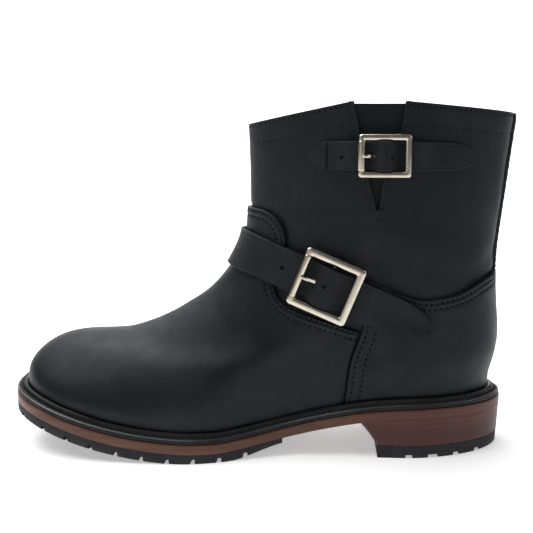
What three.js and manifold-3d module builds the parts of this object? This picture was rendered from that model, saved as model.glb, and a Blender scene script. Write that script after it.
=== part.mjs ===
// A short leather engineer boot for the left foot, standing empty on its sole.
// Millimetres, +Z up. The toe points to -X, the heel to +X, the outer side of the
// foot with its buckles to -Y. The floor is z = 0. It is drawn over the middle of the
// sole, and at the end the whole boot moves to stand over the origin.

import * as THREE from 'three';
import { mergeVertices } from 'three/addons/utils/BufferGeometryUtils.js';
import Module from 'manifold-3d';

// Named sizes of the whole boot.
const LENGTH = 305;
const HEIGHT = 206;
const BALL_WIDTH = 97;
const HEEL_WIDTH = 70;
const TOE_BOX = 43;
const HEEL_RISE = 19;
const TOE_SPRING = 22.5;
const TOE_SWAY = 4;

// Thicknesses of its layers, and the gap left between two pieces that touch.
const WALL = 2.4;
const OVERLAY = 1.8;
const STRAP_THICK = 2;
const WELT_THICK = 2.8;
const MIDSOLE_THICK = 5.6;
const TREAD = 5.4;
const LIFT_THICK = 7.7;
const INSOLE_THICK = 4;
const GAP = 0.3;

// How far the sole's edge stands outside the upper.
const EDGE_TOE = 9.2;
const EDGE_OUTER = 8.4;
const EDGE_INNER = 7.8;
const EDGE_HEEL = 9;
const BEAD_WIDTH = 3.2;
const BEAD_HEIGHT = 3;

// Straps and buckles.
const INSTEP_STRAP_WIDTH = 25;
const SHAFT_STRAP_WIDTH = 16.6;
const PIPING_WIDTH = 5;
const PIPING_HEIGHT = 2.4;

// Columns around the form and rows up it.
const COLUMNS = 48;
const LEVELS = 14;

// The sole's underside: height over the tread, as shares of the two rises.
const SOLE = [
  { along: 0.000, heel: 1.000, toe: 0.00 },
  { along: 0.090, heel: 1.000, toe: 0.00 },
  { along: 0.172, heel: 0.985, toe: 0.00 },
  { along: 0.221, heel: 0.950, toe: 0.00 },
  { along: 0.272, heel: 0.875, toe: 0.00 },
  { along: 0.333, heel: 0.715, toe: 0.00 },
  { along: 0.389, heel: 0.520, toe: 0.00 },
  { along: 0.444, heel: 0.300, toe: 0.00 },
  { along: 0.500, heel: 0.130, toe: 0.00 },
  { along: 0.533, heel: 0.050, toe: 0.00 },
  { along: 0.566, heel: 0.000, toe: 0.00 },
  { along: 0.598, heel: 0.000, toe: 0.00 },
  { along: 0.631, heel: 0.000, toe: 0.01 },
  { along: 0.680, heel: 0.000, toe: 0.05 },
  { along: 0.746, heel: 0.000, toe: 0.17 },
  { along: 0.811, heel: 0.000, toe: 0.35 },
  { along: 0.877, heel: 0.000, toe: 0.58 },
  { along: 0.943, heel: 0.000, toe: 0.83 },
  { along: 1.000, heel: 0.000, toe: 1.00 },
];

// The form's rings from the feather line up to above the collar. front and back say where
// the ring's ends are along the boot, toe, leg and rear how high they are over the sole,
// bed how far the ring follows the sole and sway how far it swings to the inner side.
const RINGS = [
  { front: 0.955, toe: 0.008, leg: 0.000, back: 0.0340, rear: 0.002, bed: 1.00, sway: 1.00 },
  { front: 0.957, toe: 0.072, leg: 0.000, back: 0.0345, rear: 0.021, bed: 1.00, sway: 1.00 },
  { front: 0.957, toe: 0.175, leg: 0.000, back: 0.0340, rear: 0.053, bed: 1.00, sway: 1.00 },
  { front: 0.951, toe: 0.350, leg: 0.000, back: 0.0290, rear: 0.089, bed: 1.00, sway: 0.97 },
  { front: 0.918, toe: 0.628, leg: 0.000, back: 0.0240, rear: 0.128, bed: 1.00, sway: 0.90 },
  { front: 0.854, toe: 0.905, leg: 0.000, back: 0.0205, rear: 0.172, bed: 0.95, sway: 0.77 },
  { front: 0.756, toe: 0.979, leg: 0.029, back: 0.0220, rear: 0.220, bed: 0.80, sway: 0.57 },
  { front: 0.654, toe: 1.000, leg: 0.104, back: 0.0260, rear: 0.279, bed: 0.55, sway: 0.37 },
  { front: 0.587, toe: 1.000, leg: 0.174, back: 0.0285, rear: 0.347, bed: 0.28, sway: 0.20 },
  { front: 0.544, toe: 1.000, leg: 0.245, back: 0.0280, rear: 0.419, bed: 0.10, sway: 0.07 },
  { front: 0.518, toe: 1.000, leg: 0.315, back: 0.0230, rear: 0.502, bed: 0.00, sway: 0.00 },
  { front: 0.510, toe: 1.000, leg: 0.398, back: 0.0160, rear: 0.599, bed: 0.00, sway: 0.00 },
  { front: 0.511, toe: 1.000, leg: 0.568, back: 0.0070, rear: 0.725, bed: 0.00, sway: 0.00 },
  { front: 0.516, toe: 1.000, leg: 0.705, back: -0.0050, rear: 0.881, bed: 0.00, sway: 0.00 },
];

// The same rings' widths. heel and waist are shares of half the heel width, ball of half the
// ball width; outer and inner are the two sides.
const WIDTHS = [
  { heel: 0.890, waistOuter: 0.820, waistInner: 0.590, ballOuter: 0.935, ballInner: 0.880 },
  { heel: 0.930, waistOuter: 0.875, waistInner: 0.670, ballOuter: 0.970, ballInner: 0.920 },
  { heel: 0.960, waistOuter: 0.910, waistInner: 0.760, ballOuter: 1.000, ballInner: 0.955 },
  { heel: 0.985, waistOuter: 0.932, waistInner: 0.830, ballOuter: 0.990, ballInner: 0.945 },
  { heel: 0.995, waistOuter: 0.945, waistInner: 0.885, ballOuter: 0.935, ballInner: 0.890 },
  { heel: 1.000, waistOuter: 0.955, waistInner: 0.930, ballOuter: 0.855, ballInner: 0.815 },
  { heel: 1.005, waistOuter: 0.965, waistInner: 0.955, ballOuter: 0.795, ballInner: 0.765 },
  { heel: 1.015, waistOuter: 0.995, waistInner: 0.990, ballOuter: 0.770, ballInner: 0.750 },
  { heel: 1.035, waistOuter: 1.030, waistInner: 1.030, ballOuter: 0.770, ballInner: 0.760 },
  { heel: 1.055, waistOuter: 1.055, waistInner: 1.055, ballOuter: 0.770, ballInner: 0.770 },
  { heel: 1.070, waistOuter: 1.070, waistInner: 1.070, ballOuter: 0.772, ballInner: 0.772 },
  { heel: 1.065, waistOuter: 1.065, waistInner: 1.065, ballOuter: 0.769, ballInner: 0.769 },
  { heel: 1.050, waistOuter: 1.050, waistInner: 1.050, ballOuter: 0.758, ballInner: 0.758 },
  { heel: 1.040, waistOuter: 1.040, waistInner: 1.040, ballOuter: 0.751, ballInner: 0.751 },
];

// How the same rings round off at the heel and at the toe: the share of the ring's length
// that each end takes, and the power of its curve (2 is an ellipse, more is squarer).
const ENDS = [
  { heelShare: 0.190, heelPower: 1.75, toeShare: 0.31, toePower: 2.70 },
  { heelShare: 0.180, heelPower: 1.85, toeShare: 0.32, toePower: 2.60 },
  { heelShare: 0.170, heelPower: 1.95, toeShare: 0.33, toePower: 2.50 },
  { heelShare: 0.165, heelPower: 2.05, toeShare: 0.36, toePower: 2.30 },
  { heelShare: 0.150, heelPower: 2.10, toeShare: 0.40, toePower: 2.10 },
  { heelShare: 0.170, heelPower: 2.10, toeShare: 0.46, toePower: 2.00 },
  { heelShare: 0.200, heelPower: 2.10, toeShare: 0.55, toePower: 1.95 },
  { heelShare: 0.240, heelPower: 2.10, toeShare: 0.62, toePower: 1.95 },
  { heelShare: 0.290, heelPower: 2.10, toeShare: 0.64, toePower: 1.95 },
  { heelShare: 0.350, heelPower: 2.05, toeShare: 0.62, toePower: 1.95 },
  { heelShare: 0.410, heelPower: 2.00, toeShare: 0.58, toePower: 2.00 },
  { heelShare: 0.460, heelPower: 2.00, toeShare: 0.54, toePower: 2.00 },
  { heelShare: 0.490, heelPower: 2.00, toeShare: 0.51, toePower: 2.00 },
  { heelShare: 0.500, heelPower: 2.00, toeShare: 0.50, toePower: 2.00 },
];

// Lines seen from the side: along the boot from the heel, up from the floor.
const COLLAR = [
  { along: 0.560, up: 0.925 },
  { along: 0.318, up: 1.000 },
  { along: 0.223, up: 1.000 },
  { along: -0.015, up: 0.970 },
  { along: -0.060, up: 0.965 },
];
const NOTCH = [
  { along: 0.318, up: 1.100 },
  { along: 0.318, up: 1.000 },
  { along: 0.309, up: 0.935 },
  { along: 0.286, up: 0.780 },
  { along: 0.272, up: 0.705 },
  { along: 0.268, up: 0.705 },
  { along: 0.263, up: 0.780 },
  { along: 0.229, up: 0.935 },
  { along: 0.223, up: 1.000 },
  { along: 0.223, up: 1.100 },
];
const VAMP_EDGE = [
  { along: 0.600, up: 0.700 },
  { along: 0.486, up: 0.699 },
  { along: 0.462, up: 0.684 },
  { along: 0.445, up: 0.655 },
  { along: 0.440, up: 0.603 },
  { along: 0.456, up: 0.544 },
  { along: 0.461, up: 0.495 },
  { along: 0.455, up: 0.450 },
  { along: 0.437, up: 0.418 },
  { along: 0.410, up: 0.400 },
  { along: 0.375, up: 0.386 },
  { along: 0.2965, up: 0.362 },
  { along: 0.310, up: 0.305 },
  { along: 0.318, up: 0.250 },
  { along: 0.3255, up: 0.147 },
  { along: 0.332, up: 0.060 },
];
const COUNTER_EDGE = [
  { along: 0.331, up: 0.060 },
  { along: 0.3245, up: 0.147 },
  { along: 0.317, up: 0.250 },
  { along: 0.309, up: 0.305 },
  { along: 0.2955, up: 0.362 },
  { along: 0.290, up: 0.430 },
  { along: 0.286, up: 0.516 },
  { along: 0.225, up: 0.474 },
  { along: 0.180, up: 0.457 },
  { along: 0.149, up: 0.461 },
  { along: 0.108, up: 0.476 },
  { along: 0.062, up: 0.506 },
  { along: -0.050, up: 0.545 },
];
const PIPING_FOOT = 0.536;

// Middle lines of the two straps, and their ends.
const INSTEP_LINE = [
  { along: 0.538, up: 0.588 },
  { along: 0.459, up: 0.551 },
  { along: 0.417, up: 0.528 },
  { along: 0.364, up: 0.495 },
  { along: 0.309, up: 0.462 },
  { along: 0.225, up: 0.411 },
  { along: 0.150, up: 0.371 },
];
const SHAFT_LINE = [
  { along: 0.430, up: 0.852 },
  { along: 0.260, up: 0.853 },
  { along: 0.060, up: 0.849 },
];
const INSTEP_TIP = 0.163;
const INSTEP_END = 0.312;
const SHAFT_TIP = 0.090;
const SHAFT_START = 0.403;

// The two buckles: place, outer size, bar width and the angle of the strap that each holds.
const INSTEP_BUCKLE = { along: 0.361, up: 0.495, long: 36.2, wide: 35, bar: 4.5, tilt: 22 };
const SHAFT_BUCKLE = { along: 0.2615, up: 0.853, long: 29, wide: 23.8, bar: 3.4, tilt: 0 };
const BUCKLE_LIFT = 7.2;
const BUCKLE_THICK = 3;
const CENTRE_BAR_LIFT = 5.9;
const CENTRE_BAR_RADIUS = 0.9;
const ROLLER_RADIUS = 2.1;
const ROLLER_BORE = 1.3;
const PIN_RADIUS = 1;
const STRAP_LIFT = 2.8;
const STRAP_RISE = 5.8;
const STRAP_LEAN = 0.18;
const BILLET_REACH = 19;
const BILLET_SHARE = 0.7;
const PRONG_WIDTH = 2.4;

// The heel block's front, the half sole's end and the cuts in their edges.
const BREAST = 0.254;
const BREAST_SKEW = 3.3;
const BREAST_LIP = 0.026;
const HALF_SOLE_END = 0.444;
const SKIVE = 3;
const FLAT = 0.8;
const LUG_CUT_WIDTH = 3;
const LUG_CUT_DEPTH = 2.6;
const LUG_CUT_REACH = 19;
const SOLE_CUTS = [0.515, 0.564, 0.613, 0.662, 0.711, 0.760, 0.809, 0.858, 0.907, 0.956];
const LIFT_CUTS = [0.060, 0.105, 0.152, 0.199];

const wasm = await Module();
wasm.setup();

const rad = THREE.MathUtils.degToRad;
const clamp = THREE.MathUtils.clamp;
const smooth = (value, low, high) => THREE.MathUtils.smoothstep(value, low, high);
const alongToX = (along) => LENGTH * (0.5 - along);
const xToAlong = (x) => 0.5 - x / LENGTH;

// A natural cubic spline through the points (xs, ys), as a function.
function spline(xs, ys) {
  const n = xs.length;
  const bend = new Array(n).fill(0);
  const work = new Array(n).fill(0);
  for (let i = 1; i < n - 1; i += 1) {
    const before = xs[i] - xs[i - 1];
    const after = xs[i + 1] - xs[i];
    const share = before / (before + after);
    const pivot = share * bend[i - 1] + 2;
    bend[i] = (share - 1) / pivot;
    const turn = (ys[i + 1] - ys[i]) / after - (ys[i] - ys[i - 1]) / before;
    work[i] = ((6 * turn) / (before + after) - share * work[i - 1]) / pivot;
  }
  for (let i = n - 2; i >= 0; i -= 1) {
    bend[i] = bend[i] * bend[i + 1] + work[i];
  }
  return (x) => {
    let low = 0;
    while (low < n - 2 && x > xs[low + 1]) {
      low += 1;
    }
    const step = xs[low + 1] - xs[low];
    const a = (xs[low + 1] - x) / step;
    const b = 1 - a;
    const curve = ((a ** 3 - a) * bend[low] + (b ** 3 - b) * bend[low + 1]) * (step * step) / 6;
    return a * ys[low] + b * ys[low + 1] + curve;
  };
}

const column = (table, name) => spline(table.map((row, i) => i), table.map((row) => row[name]));

const heelShare = spline(SOLE.map((row) => row.along), SOLE.map((row) => row.heel));
const toeShare = spline(SOLE.map((row) => row.along), SOLE.map((row) => row.toe));

// Height of the midsole's underside at x, of its top and of the welt's flat top.
function under(x) {
  const along = clamp(xToAlong(x), 0, 1);
  return TREAD + HEEL_RISE * heelShare(along) + TOE_SPRING * toeShare(along);
}
const midsoleTop = (x) => under(x) + MIDSOLE_THICK;
const bed = (x) => midsoleTop(x) + GAP + WELT_THICK;

const ring = {};
for (const table of [RINGS, WIDTHS, ENDS]) {
  for (const name of Object.keys(table[0])) {
    ring[name] = column(table, name);
  }
}

// The point of the form at turn phi (0 at the toe, -pi/2 on the outer side) and ring t.
function form(phi, t) {
  const s = (1 + Math.cos(phi)) / 2;
  const outer = Math.sin(phi) < 0;
  const frontX = alongToX(ring.front(t));
  const backX = alongToX(ring.back(t));
  const frontZ = bed(frontX) + ring.toe(t) * TOE_BOX + ring.leg(t) * HEIGHT;
  const backZ = bed(backX) + ring.rear(t) * HEIGHT;
  const x = backX + (frontX - backX) * s;
  const straight = backZ + (frontZ - backZ) * s;
  const lift = (backZ - bed(backX)) * (1 - s) + (frontZ - bed(frontX)) * s;
  const follow = ring.bed(t);
  const z = follow * (bed(x) + lift) + (1 - follow) * straight;
  const heel = ring.heel(t) * HEEL_WIDTH / 2;
  const waist = (outer ? ring.waistOuter(t) : ring.waistInner(t)) * HEEL_WIDTH / 2;
  const ball = (outer ? ring.ballOuter(t) : ring.ballInner(t)) * BALL_WIDTH / 2;
  const ballAt = outer ? 0.66 : 0.72;
  const side = s < 0.42
    ? heel + (waist - heel) * smooth(s, 0.12, 0.42)
    : waist + (ball - waist) * smooth(s, 0.42, ballAt);
  const round = (share, size, power) => (share < size
    ? (1 - (1 - share / size) ** power) ** (1 / power)
    : 1);
  const half = side * round(s, ring.heelShare(t), ring.heelPower(t))
    * round(Math.max(1 - s, 0), ring.toeShare(t), ring.toePower(t));
  const y = TOE_SWAY * ring.sway(t) * smooth(s, 0.3, 1) + (outer ? -half : half);
  return new THREE.Vector3(x, y, z);
}

// The form's outward direction there, and the point at a distance outside it.
function outward(phi, t) {
  const step = 0.002;
  const up = form(phi, t + step).sub(form(phi, t - step));
  const round = form(phi + step, t).sub(form(phi - step, t));
  return up.cross(round).normalize();
}
const skin = (phi, t, distance) => form(phi, t).addScaledVector(outward(phi, t), distance);

// The turn and ring where the form passes a point (x, z) of the side view.
function findOnSide(x, z, sign) {
  let low = 0;
  let high = RINGS.length - 1;
  let phi = 0;
  for (let i = 0; i < 40; i += 1) {
    const t = (low + high) / 2;
    const frontX = alongToX(ring.front(t));
    const backX = alongToX(ring.back(t));
    phi = sign * Math.acos(clamp((2 * (x - backX)) / (frontX - backX) - 1, -1, 1));
    if (form(phi, t).z < z) {
      low = t;
    } else {
      high = t;
    }
  }
  return { phi, t: low };
}

// The ring where the form reaches the height that a function of x gives, at turn phi.
function ringAtHeight(phi, heightAt) {
  let low = 0;
  let high = RINGS.length - 1;
  for (let i = 0; i < 40; i += 1) {
    const t = (low + high) / 2;
    const point = form(phi, t);
    if (point.z < heightAt(point.x)) {
      low = t;
    } else {
      high = t;
    }
  }
  return low;
}

// Straight pieces through points (a, b), as a function of a, which rises along the list.
function pieces(points) {
  return (a) => {
    let i = 0;
    while (i < points.length - 2 && a > points[i + 1][0]) {
      i += 1;
    }
    const share = (a - points[i][0]) / (points[i + 1][0] - points[i][0]);
    return points[i][1] + (points[i + 1][1] - points[i][1]) * share;
  };
}

// Height of a side line at x, by straight pieces or as a smooth curve.
const sidePoints = (table) => table.map((row) => [alongToX(row.along), row.up * HEIGHT]);
const linePieces = (table) => pieces(sidePoints(table));
function lineCurve(table) {
  const rows = [...table].reverse();
  const curve = spline(rows.map((row) => row.along), rows.map((row) => row.up));
  return (x) => HEIGHT * curve(xToAlong(x));
}

// A geometry from points and triangles, turned so that its faces point out.
function closedGeometry(points, faces) {
  let volume = 0;
  for (const [a, b, c] of faces) {
    volume += points[a].dot(points[b].clone().cross(points[c]));
  }
  const turned = volume < 0 ? faces.map(([a, b, c]) => [a, c, b]) : faces;
  const places = points.flatMap((point) => point.toArray());
  const geometry = new THREE.BufferGeometry();
  geometry.setAttribute('position', new THREE.Float32BufferAttribute(places, 3));
  geometry.setIndex(turned.flat());
  return geometry;
}

// The solid between two grids of points with the same rows. Each row closes on itself when
// wrap is set, and otherwise the side borders are closed too.
function between(outerGrid, innerGrid, wrap) {
  const rows = outerGrid.length;
  const cols = outerGrid[0].length;
  const points = [...outerGrid.flat(), ...innerGrid.flat()];
  const outerAt = (r, c) => r * cols + (c % cols);
  const innerAt = (r, c) => rows * cols + outerAt(r, c);
  const faces = [];
  const quad = (a, b, c, d) => faces.push([a, b, c], [a, c, d]);
  const lastCol = wrap ? cols : cols - 1;
  for (let r = 0; r < rows - 1; r += 1) {
    for (let c = 0; c < lastCol; c += 1) {
      quad(outerAt(r, c), outerAt(r, c + 1), outerAt(r + 1, c + 1), outerAt(r + 1, c));
      quad(innerAt(r, c), innerAt(r + 1, c), innerAt(r + 1, c + 1), innerAt(r, c + 1));
    }
    if (!wrap) {
      const end = cols - 1;
      quad(outerAt(r, 0), outerAt(r + 1, 0), innerAt(r + 1, 0), innerAt(r, 0));
      quad(outerAt(r, end), innerAt(r, end), innerAt(r + 1, end), outerAt(r + 1, end));
    }
  }
  for (let c = 0; c < lastCol; c += 1) {
    quad(outerAt(0, c), innerAt(0, c), innerAt(0, c + 1), outerAt(0, c + 1));
    quad(outerAt(rows - 1, c), outerAt(rows - 1, c + 1), innerAt(rows - 1, c + 1), innerAt(rows - 1, c));
  }
  return closedGeometry(points, faces);
}

// A solid from levels of paired points: each pair is a point of the outer and of the inner side.
function pairedLevels(levels) {
  const count = levels[0].length;
  const loop = (pairs) => [
    ...pairs.map((pair) => pair[0]),
    ...pairs.map((pair) => pair[1]).reverse(),
  ];
  const loops = levels.map(loop);
  const size = 2 * count;
  const points = loops.flat();
  const faces = [];
  const quad = (a, b, c, d) => faces.push([a, b, c], [a, c, d]);
  for (let l = 0; l < loops.length - 1; l += 1) {
    for (let i = 0; i < size; i += 1) {
      const next = (i + 1) % size;
      quad(l * size + i, l * size + next, (l + 1) * size + next, (l + 1) * size + i);
    }
  }
  const last = (loops.length - 1) * size;
  for (let i = 0; i < count - 1; i += 1) {
    quad(i, size - 1 - i, size - 2 - i, i + 1);
    quad(last + i, last + i + 1, last + size - 2 - i, last + size - 1 - i);
  }
  return closedGeometry(points, faces);
}

// Joins and cuts.
function toSolid(geometry) {
  const bare = geometry.clone();
  bare.deleteAttribute('normal');
  bare.deleteAttribute('uv');
  const merged = mergeVertices(bare, 1e-4);
  return new wasm.Manifold(new wasm.Mesh({
    numProp: 3,
    vertProperties: new Float32Array(merged.attributes.position.array),
    triVerts: new Uint32Array(merged.index.array),
  }));
}
function toGeometry(solid) {
  const mesh = solid.getMesh();
  const geometry = new THREE.BufferGeometry();
  geometry.setAttribute('position', new THREE.BufferAttribute(new Float32Array(mesh.vertProperties), 3));
  geometry.setIndex(Array.from(mesh.triVerts));
  return geometry;
}

// A prism across the boot from a polygon of the side view.
function sidePrism(polygon, fromY, toY) {
  const shape = new THREE.Shape(polygon.map(([x, z]) => new THREE.Vector2(x, z)));
  const geometry = new THREE.ExtrudeGeometry(shape, { depth: toY - fromY, bevelEnabled: false });
  geometry.rotateX(Math.PI / 2);
  geometry.translate(0, toY, 0);
  return toSolid(geometry);
}

const turns = Array.from({ length: COLUMNS }, (unused, i) => (2 * Math.PI * (i + 0.5)) / COLUMNS - Math.PI);
const collarAt = linePieces(COLLAR);
const collarRings = turns.map((phi) => ringAtHeight(phi, collarAt));

// The feather line's outward direction in plan, and a point moved along it at the line's lift.
function featherNormal(phi) {
  const step = 0.002;
  const along = form(phi + step, 0).sub(form(phi - step, 0));
  return new THREE.Vector3(-along.y, along.x, 0).normalize();
}
function featherPoint(phi, distance) {
  const line = form(phi, 0);
  const point = line.clone().addScaledVector(featherNormal(phi), distance);
  point.z = line.z - bed(line.x) + bed(point.x);
  return point;
}

// The form's skin at a distance, on the same columns and rows for every layer, so that two
// layers' facets stay parallel.
function skinGrid(distance) {
  const grid = [turns.map((phi) => featherPoint(phi, distance))];
  for (let level = 1; level <= LEVELS; level += 1) {
    grid.push(turns.map((phi, i) => skin(phi, (collarRings[i] * level) / LEVELS, distance)));
  }
  return grid;
}
const layer = (low, high) => between(skinGrid(high), skinGrid(low), true);

// The upper: one hollow solid, open at the collar and underneath, with the notch for the gusset.
function makeUpper() {
  const notch = sidePrism(sidePoints(NOTCH), -0.8 * BALL_WIDTH, 0);
  return toGeometry(toSolid(layer(-WALL, 0)).subtract(notch));
}

// The vamp and the counter: the same skin one layer further out, cut along their edges.
function makeOverlay(table, closing) {
  const cut = sidePrism([...sidePoints(table), ...closing], -BALL_WIDTH, BALL_WIDTH);
  return toGeometry(toSolid(layer(GAP, GAP + OVERLAY)).intersect(cut));
}
const makeVamp = () => makeOverlay(VAMP_EDGE, [[alongToX(1.1), 0], [alongToX(1.1), 0.7 * HEIGHT]]);
const makeCounter = () => makeOverlay(COUNTER_EDGE, [[alongToX(-0.05), 0], [alongToX(0.331), 0]]);

// The gusset: a thinner leather between the notch's edges, sunk a little into them.
function makeGusset() {
  const rows = 10;
  const cols = 4;
  const notch = sidePoints(NOTCH).map(([x, z]) => [z, x]);
  const frontEdge = pieces(notch.slice(1, 5).reverse());
  const backEdge = pieces(notch.slice(5, 9));
  const foot = notch[4][0] + 4;
  const head = HEIGHT - 1.2;
  const grid = (distance) => Array.from({ length: rows + 1 }, (unused, r) => {
    const z = foot + ((head - foot) * r) / rows;
    return Array.from({ length: cols + 1 }, (none, c) => {
      const from = frontEdge(z) + 2 * GAP;
      const to = backEdge(z) - 2 * GAP;
      const place = findOnSide(from + ((to - from) * c) / cols, z, -1);
      return skin(place.phi, place.t, distance);
    });
  });
  return between(grid(-0.7), grid(-2.1), false);
}

// The piping up the back seam, a half round on the shaft.
function makePiping() {
  const rows = 12;
  const low = ringAtHeight(Math.PI, () => PIPING_FOOT * HEIGHT);
  const high = ringAtHeight(Math.PI, collarAt);
  const section = [[-0.5, 0], [-0.46, 0.45], [-0.28, 0.85], [0, 1], [0.28, 0.85], [0.46, 0.45], [0.5, 0]];
  const at = (t, [across, up]) => skin(Math.PI, t, 2 * GAP + up * PIPING_HEIGHT)
    .add(new THREE.Vector3(0, across * PIPING_WIDTH, 0));
  const grid = (flat) => Array.from({ length: rows + 1 }, (unused, r) => {
    const t = low + ((high - low) * r) / rows;
    return section.slice(1, -1).map(([across, up]) => at(t, [across, flat ? 0 : up]));
  });
  return between(grid(false), grid(true), false);
}

// A buckle's own frame: its middle on the form, along the strap to the heel, across it and out.
function buckleFrame(spec) {
  const place = findOnSide(alongToX(spec.along), spec.up * HEIGHT, -1);
  const out = outward(place.phi, place.t);
  const tilt = rad(spec.tilt);
  const run = new THREE.Vector3(Math.cos(tilt), 0, -Math.sin(tilt));
  const e1 = run.addScaledVector(out, -run.dot(out)).normalize();
  const e2 = out.clone().cross(e1).normalize();
  return { origin: form(place.phi, place.t), e1, e2, out };
}
const instepFrame = buckleFrame(INSTEP_BUCKLE);
const shaftFrame = buckleFrame(SHAFT_BUCKLE);

// A geometry drawn in x along the strap, y across it and z outward, put in a buckle's frame.
function inFrame(geometry, frame) {
  const matrix = new THREE.Matrix4().makeBasis(frame.e1, frame.e2, frame.out).setPosition(frame.origin);
  return geometry.applyMatrix4(matrix);
}

// A profile of the plane along and outward, drawn across the strap between two offsets.
function acrossProfile(points, from, to) {
  const shape = new THREE.Shape(points.map(([a, h]) => new THREE.Vector2(a, h)));
  const geometry = new THREE.ExtrudeGeometry(shape, { depth: to - from, bevelEnabled: false });
  geometry.rotateX(Math.PI / 2);
  geometry.translate(0, to, 0);
  return geometry;
}
function roundBar(radius, length, a, h, sides) {
  const geometry = new THREE.CylinderGeometry(radius, radius, length, sides);
  geometry.translate(a, 0, h);
  return geometry;
}

// The frame: an arm at each edge, a flat bar at the heel end, a pin for the roller at the toe
// end and a thin bar across the middle.
function makeBuckle(spec, frame) {
  const a = spec.long / 2;
  const w = spec.wide / 2;
  const round = 0.4 * spec.bar;
  const bevel = 0.5;
  const outline = new THREE.Shape();
  outline.moveTo(-a + round, -w + bevel);
  outline.lineTo(a - round, -w + bevel);
  outline.lineTo(a - bevel, -w + round);
  outline.lineTo(a - bevel, w - round);
  outline.lineTo(a - round, w - bevel);
  outline.lineTo(-a + round, w - bevel);
  outline.lineTo(-a + bevel, w - round);
  outline.lineTo(-a + bevel, w - spec.bar + bevel);
  outline.lineTo(a - spec.bar + bevel, w - spec.bar + bevel);
  outline.lineTo(a - spec.bar + bevel, -w + spec.bar - bevel);
  outline.lineTo(-a + bevel, -w + spec.bar - bevel);
  outline.lineTo(-a + bevel, -w + round);
  const plate = new THREE.ExtrudeGeometry(outline, {
    depth: BUCKLE_THICK - 2 * bevel,
    bevelEnabled: true,
    bevelSegments: 1,
    bevelSize: bevel,
    bevelThickness: bevel,
  });
  plate.translate(0, 0, BUCKLE_LIFT - BUCKLE_THICK / 2 + bevel);
  const reach = spec.wide - spec.bar;
  const solid = toSolid(plate)
    .add(toSolid(roundBar(PIN_RADIUS, reach, spec.bar / 2 - a, BUCKLE_LIFT, 10)))
    .add(toSolid(roundBar(CENTRE_BAR_RADIUS, reach, 0, CENTRE_BAR_LIFT, 10)));
  return inFrame(toGeometry(solid), frame);
}
function makeRoller(spec, frame) {
  const length = spec.wide - 2 * spec.bar - 2 * GAP;
  const half = length / 2;
  const profile = [
    [ROLLER_BORE, -half], [ROLLER_RADIUS, -half], [ROLLER_RADIUS, half], [ROLLER_BORE, half],
    [ROLLER_BORE, -half],
  ];
  const geometry = new THREE.LatheGeometry(profile.map(([r, y]) => new THREE.Vector2(r, y)), 14);
  geometry.translate(spec.bar / 2 - spec.long / 2, 0, BUCKLE_LIFT);
  return inFrame(toGeometry(toSolid(geometry)), frame);
}

// The prong: from beside the middle bar out through the strap's hole to the roller's top.
function prongLine(spec) {
  const reach = spec.long / 2 - spec.bar / 2;
  const top = BUCKLE_LIFT + ROLLER_RADIUS + GAP + 0.85;
  return [[-0.09, 5.9], [-0.32, 6.3], [-0.57, 8.0], [-0.78, top - 0.4], [-0.93, top], [-1.05, top]]
    .map(([share, h]) => [share * reach, h]);
}
function makeProng(spec, frame) {
  const line = prongLine(spec);
  const half = [0.8, 0.85, 0.85, 0.85, 0.8, 0.5];
  const upper = line.map(([a, h], i) => [a, h + half[i]]);
  const lower = line.map(([a, h], i) => [a, h - half[i]]).reverse();
  return inFrame(acrossProfile([...upper, ...lower], -PRONG_WIDTH / 2, PRONG_WIDTH / 2), frame);
}
function prongRoom(spec, frame) {
  const side = PRONG_WIDTH / 2 + GAP;
  const reach = spec.long / 2 - spec.bar / 2;
  const low = CENTRE_BAR_LIFT - 1.3;
  const room = [[0.03 * reach, low], [0.03 * reach, 8.0], [-0.2 * reach, 8.0], [-0.3 * reach, 12]];
  room.push([-0.76 * reach, 12], [-0.5 * reach, low]);
  return toSolid(inFrame(acrossProfile(room, -side, side), frame));
}

// The billet: a short leather tab that holds the middle bar in a loop, under the strap's tail.
function makeBillet(spec, frame, strapWidth) {
  const half = (BILLET_SHARE * strapWidth) / 2;
  const bar = [0, CENTRE_BAR_LIFT];
  const inner = CENTRE_BAR_RADIUS + GAP;
  const outer = inner + 0.9;
  const arc = (radius, from, to, steps) => Array.from({ length: steps + 1 }, (unused, i) => {
    const angle = rad(from + ((to - from) * i) / steps);
    return [bar[0] + radius * Math.cos(angle), bar[1] + radius * Math.sin(angle)];
  });
  const profile = [
    [BILLET_REACH, 0.8], [6, 0.8], ...arc(outer, 240, 20, 7), ...arc(inner, 20, 260, 7), [6.6, 1.9],
    [BILLET_REACH, 1.9],
  ];
  const tab = toSolid(inFrame(acrossProfile(profile, -half, half), frame));
  return toGeometry(tab.subtract(prongRoom(spec, frame)));
}

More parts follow.
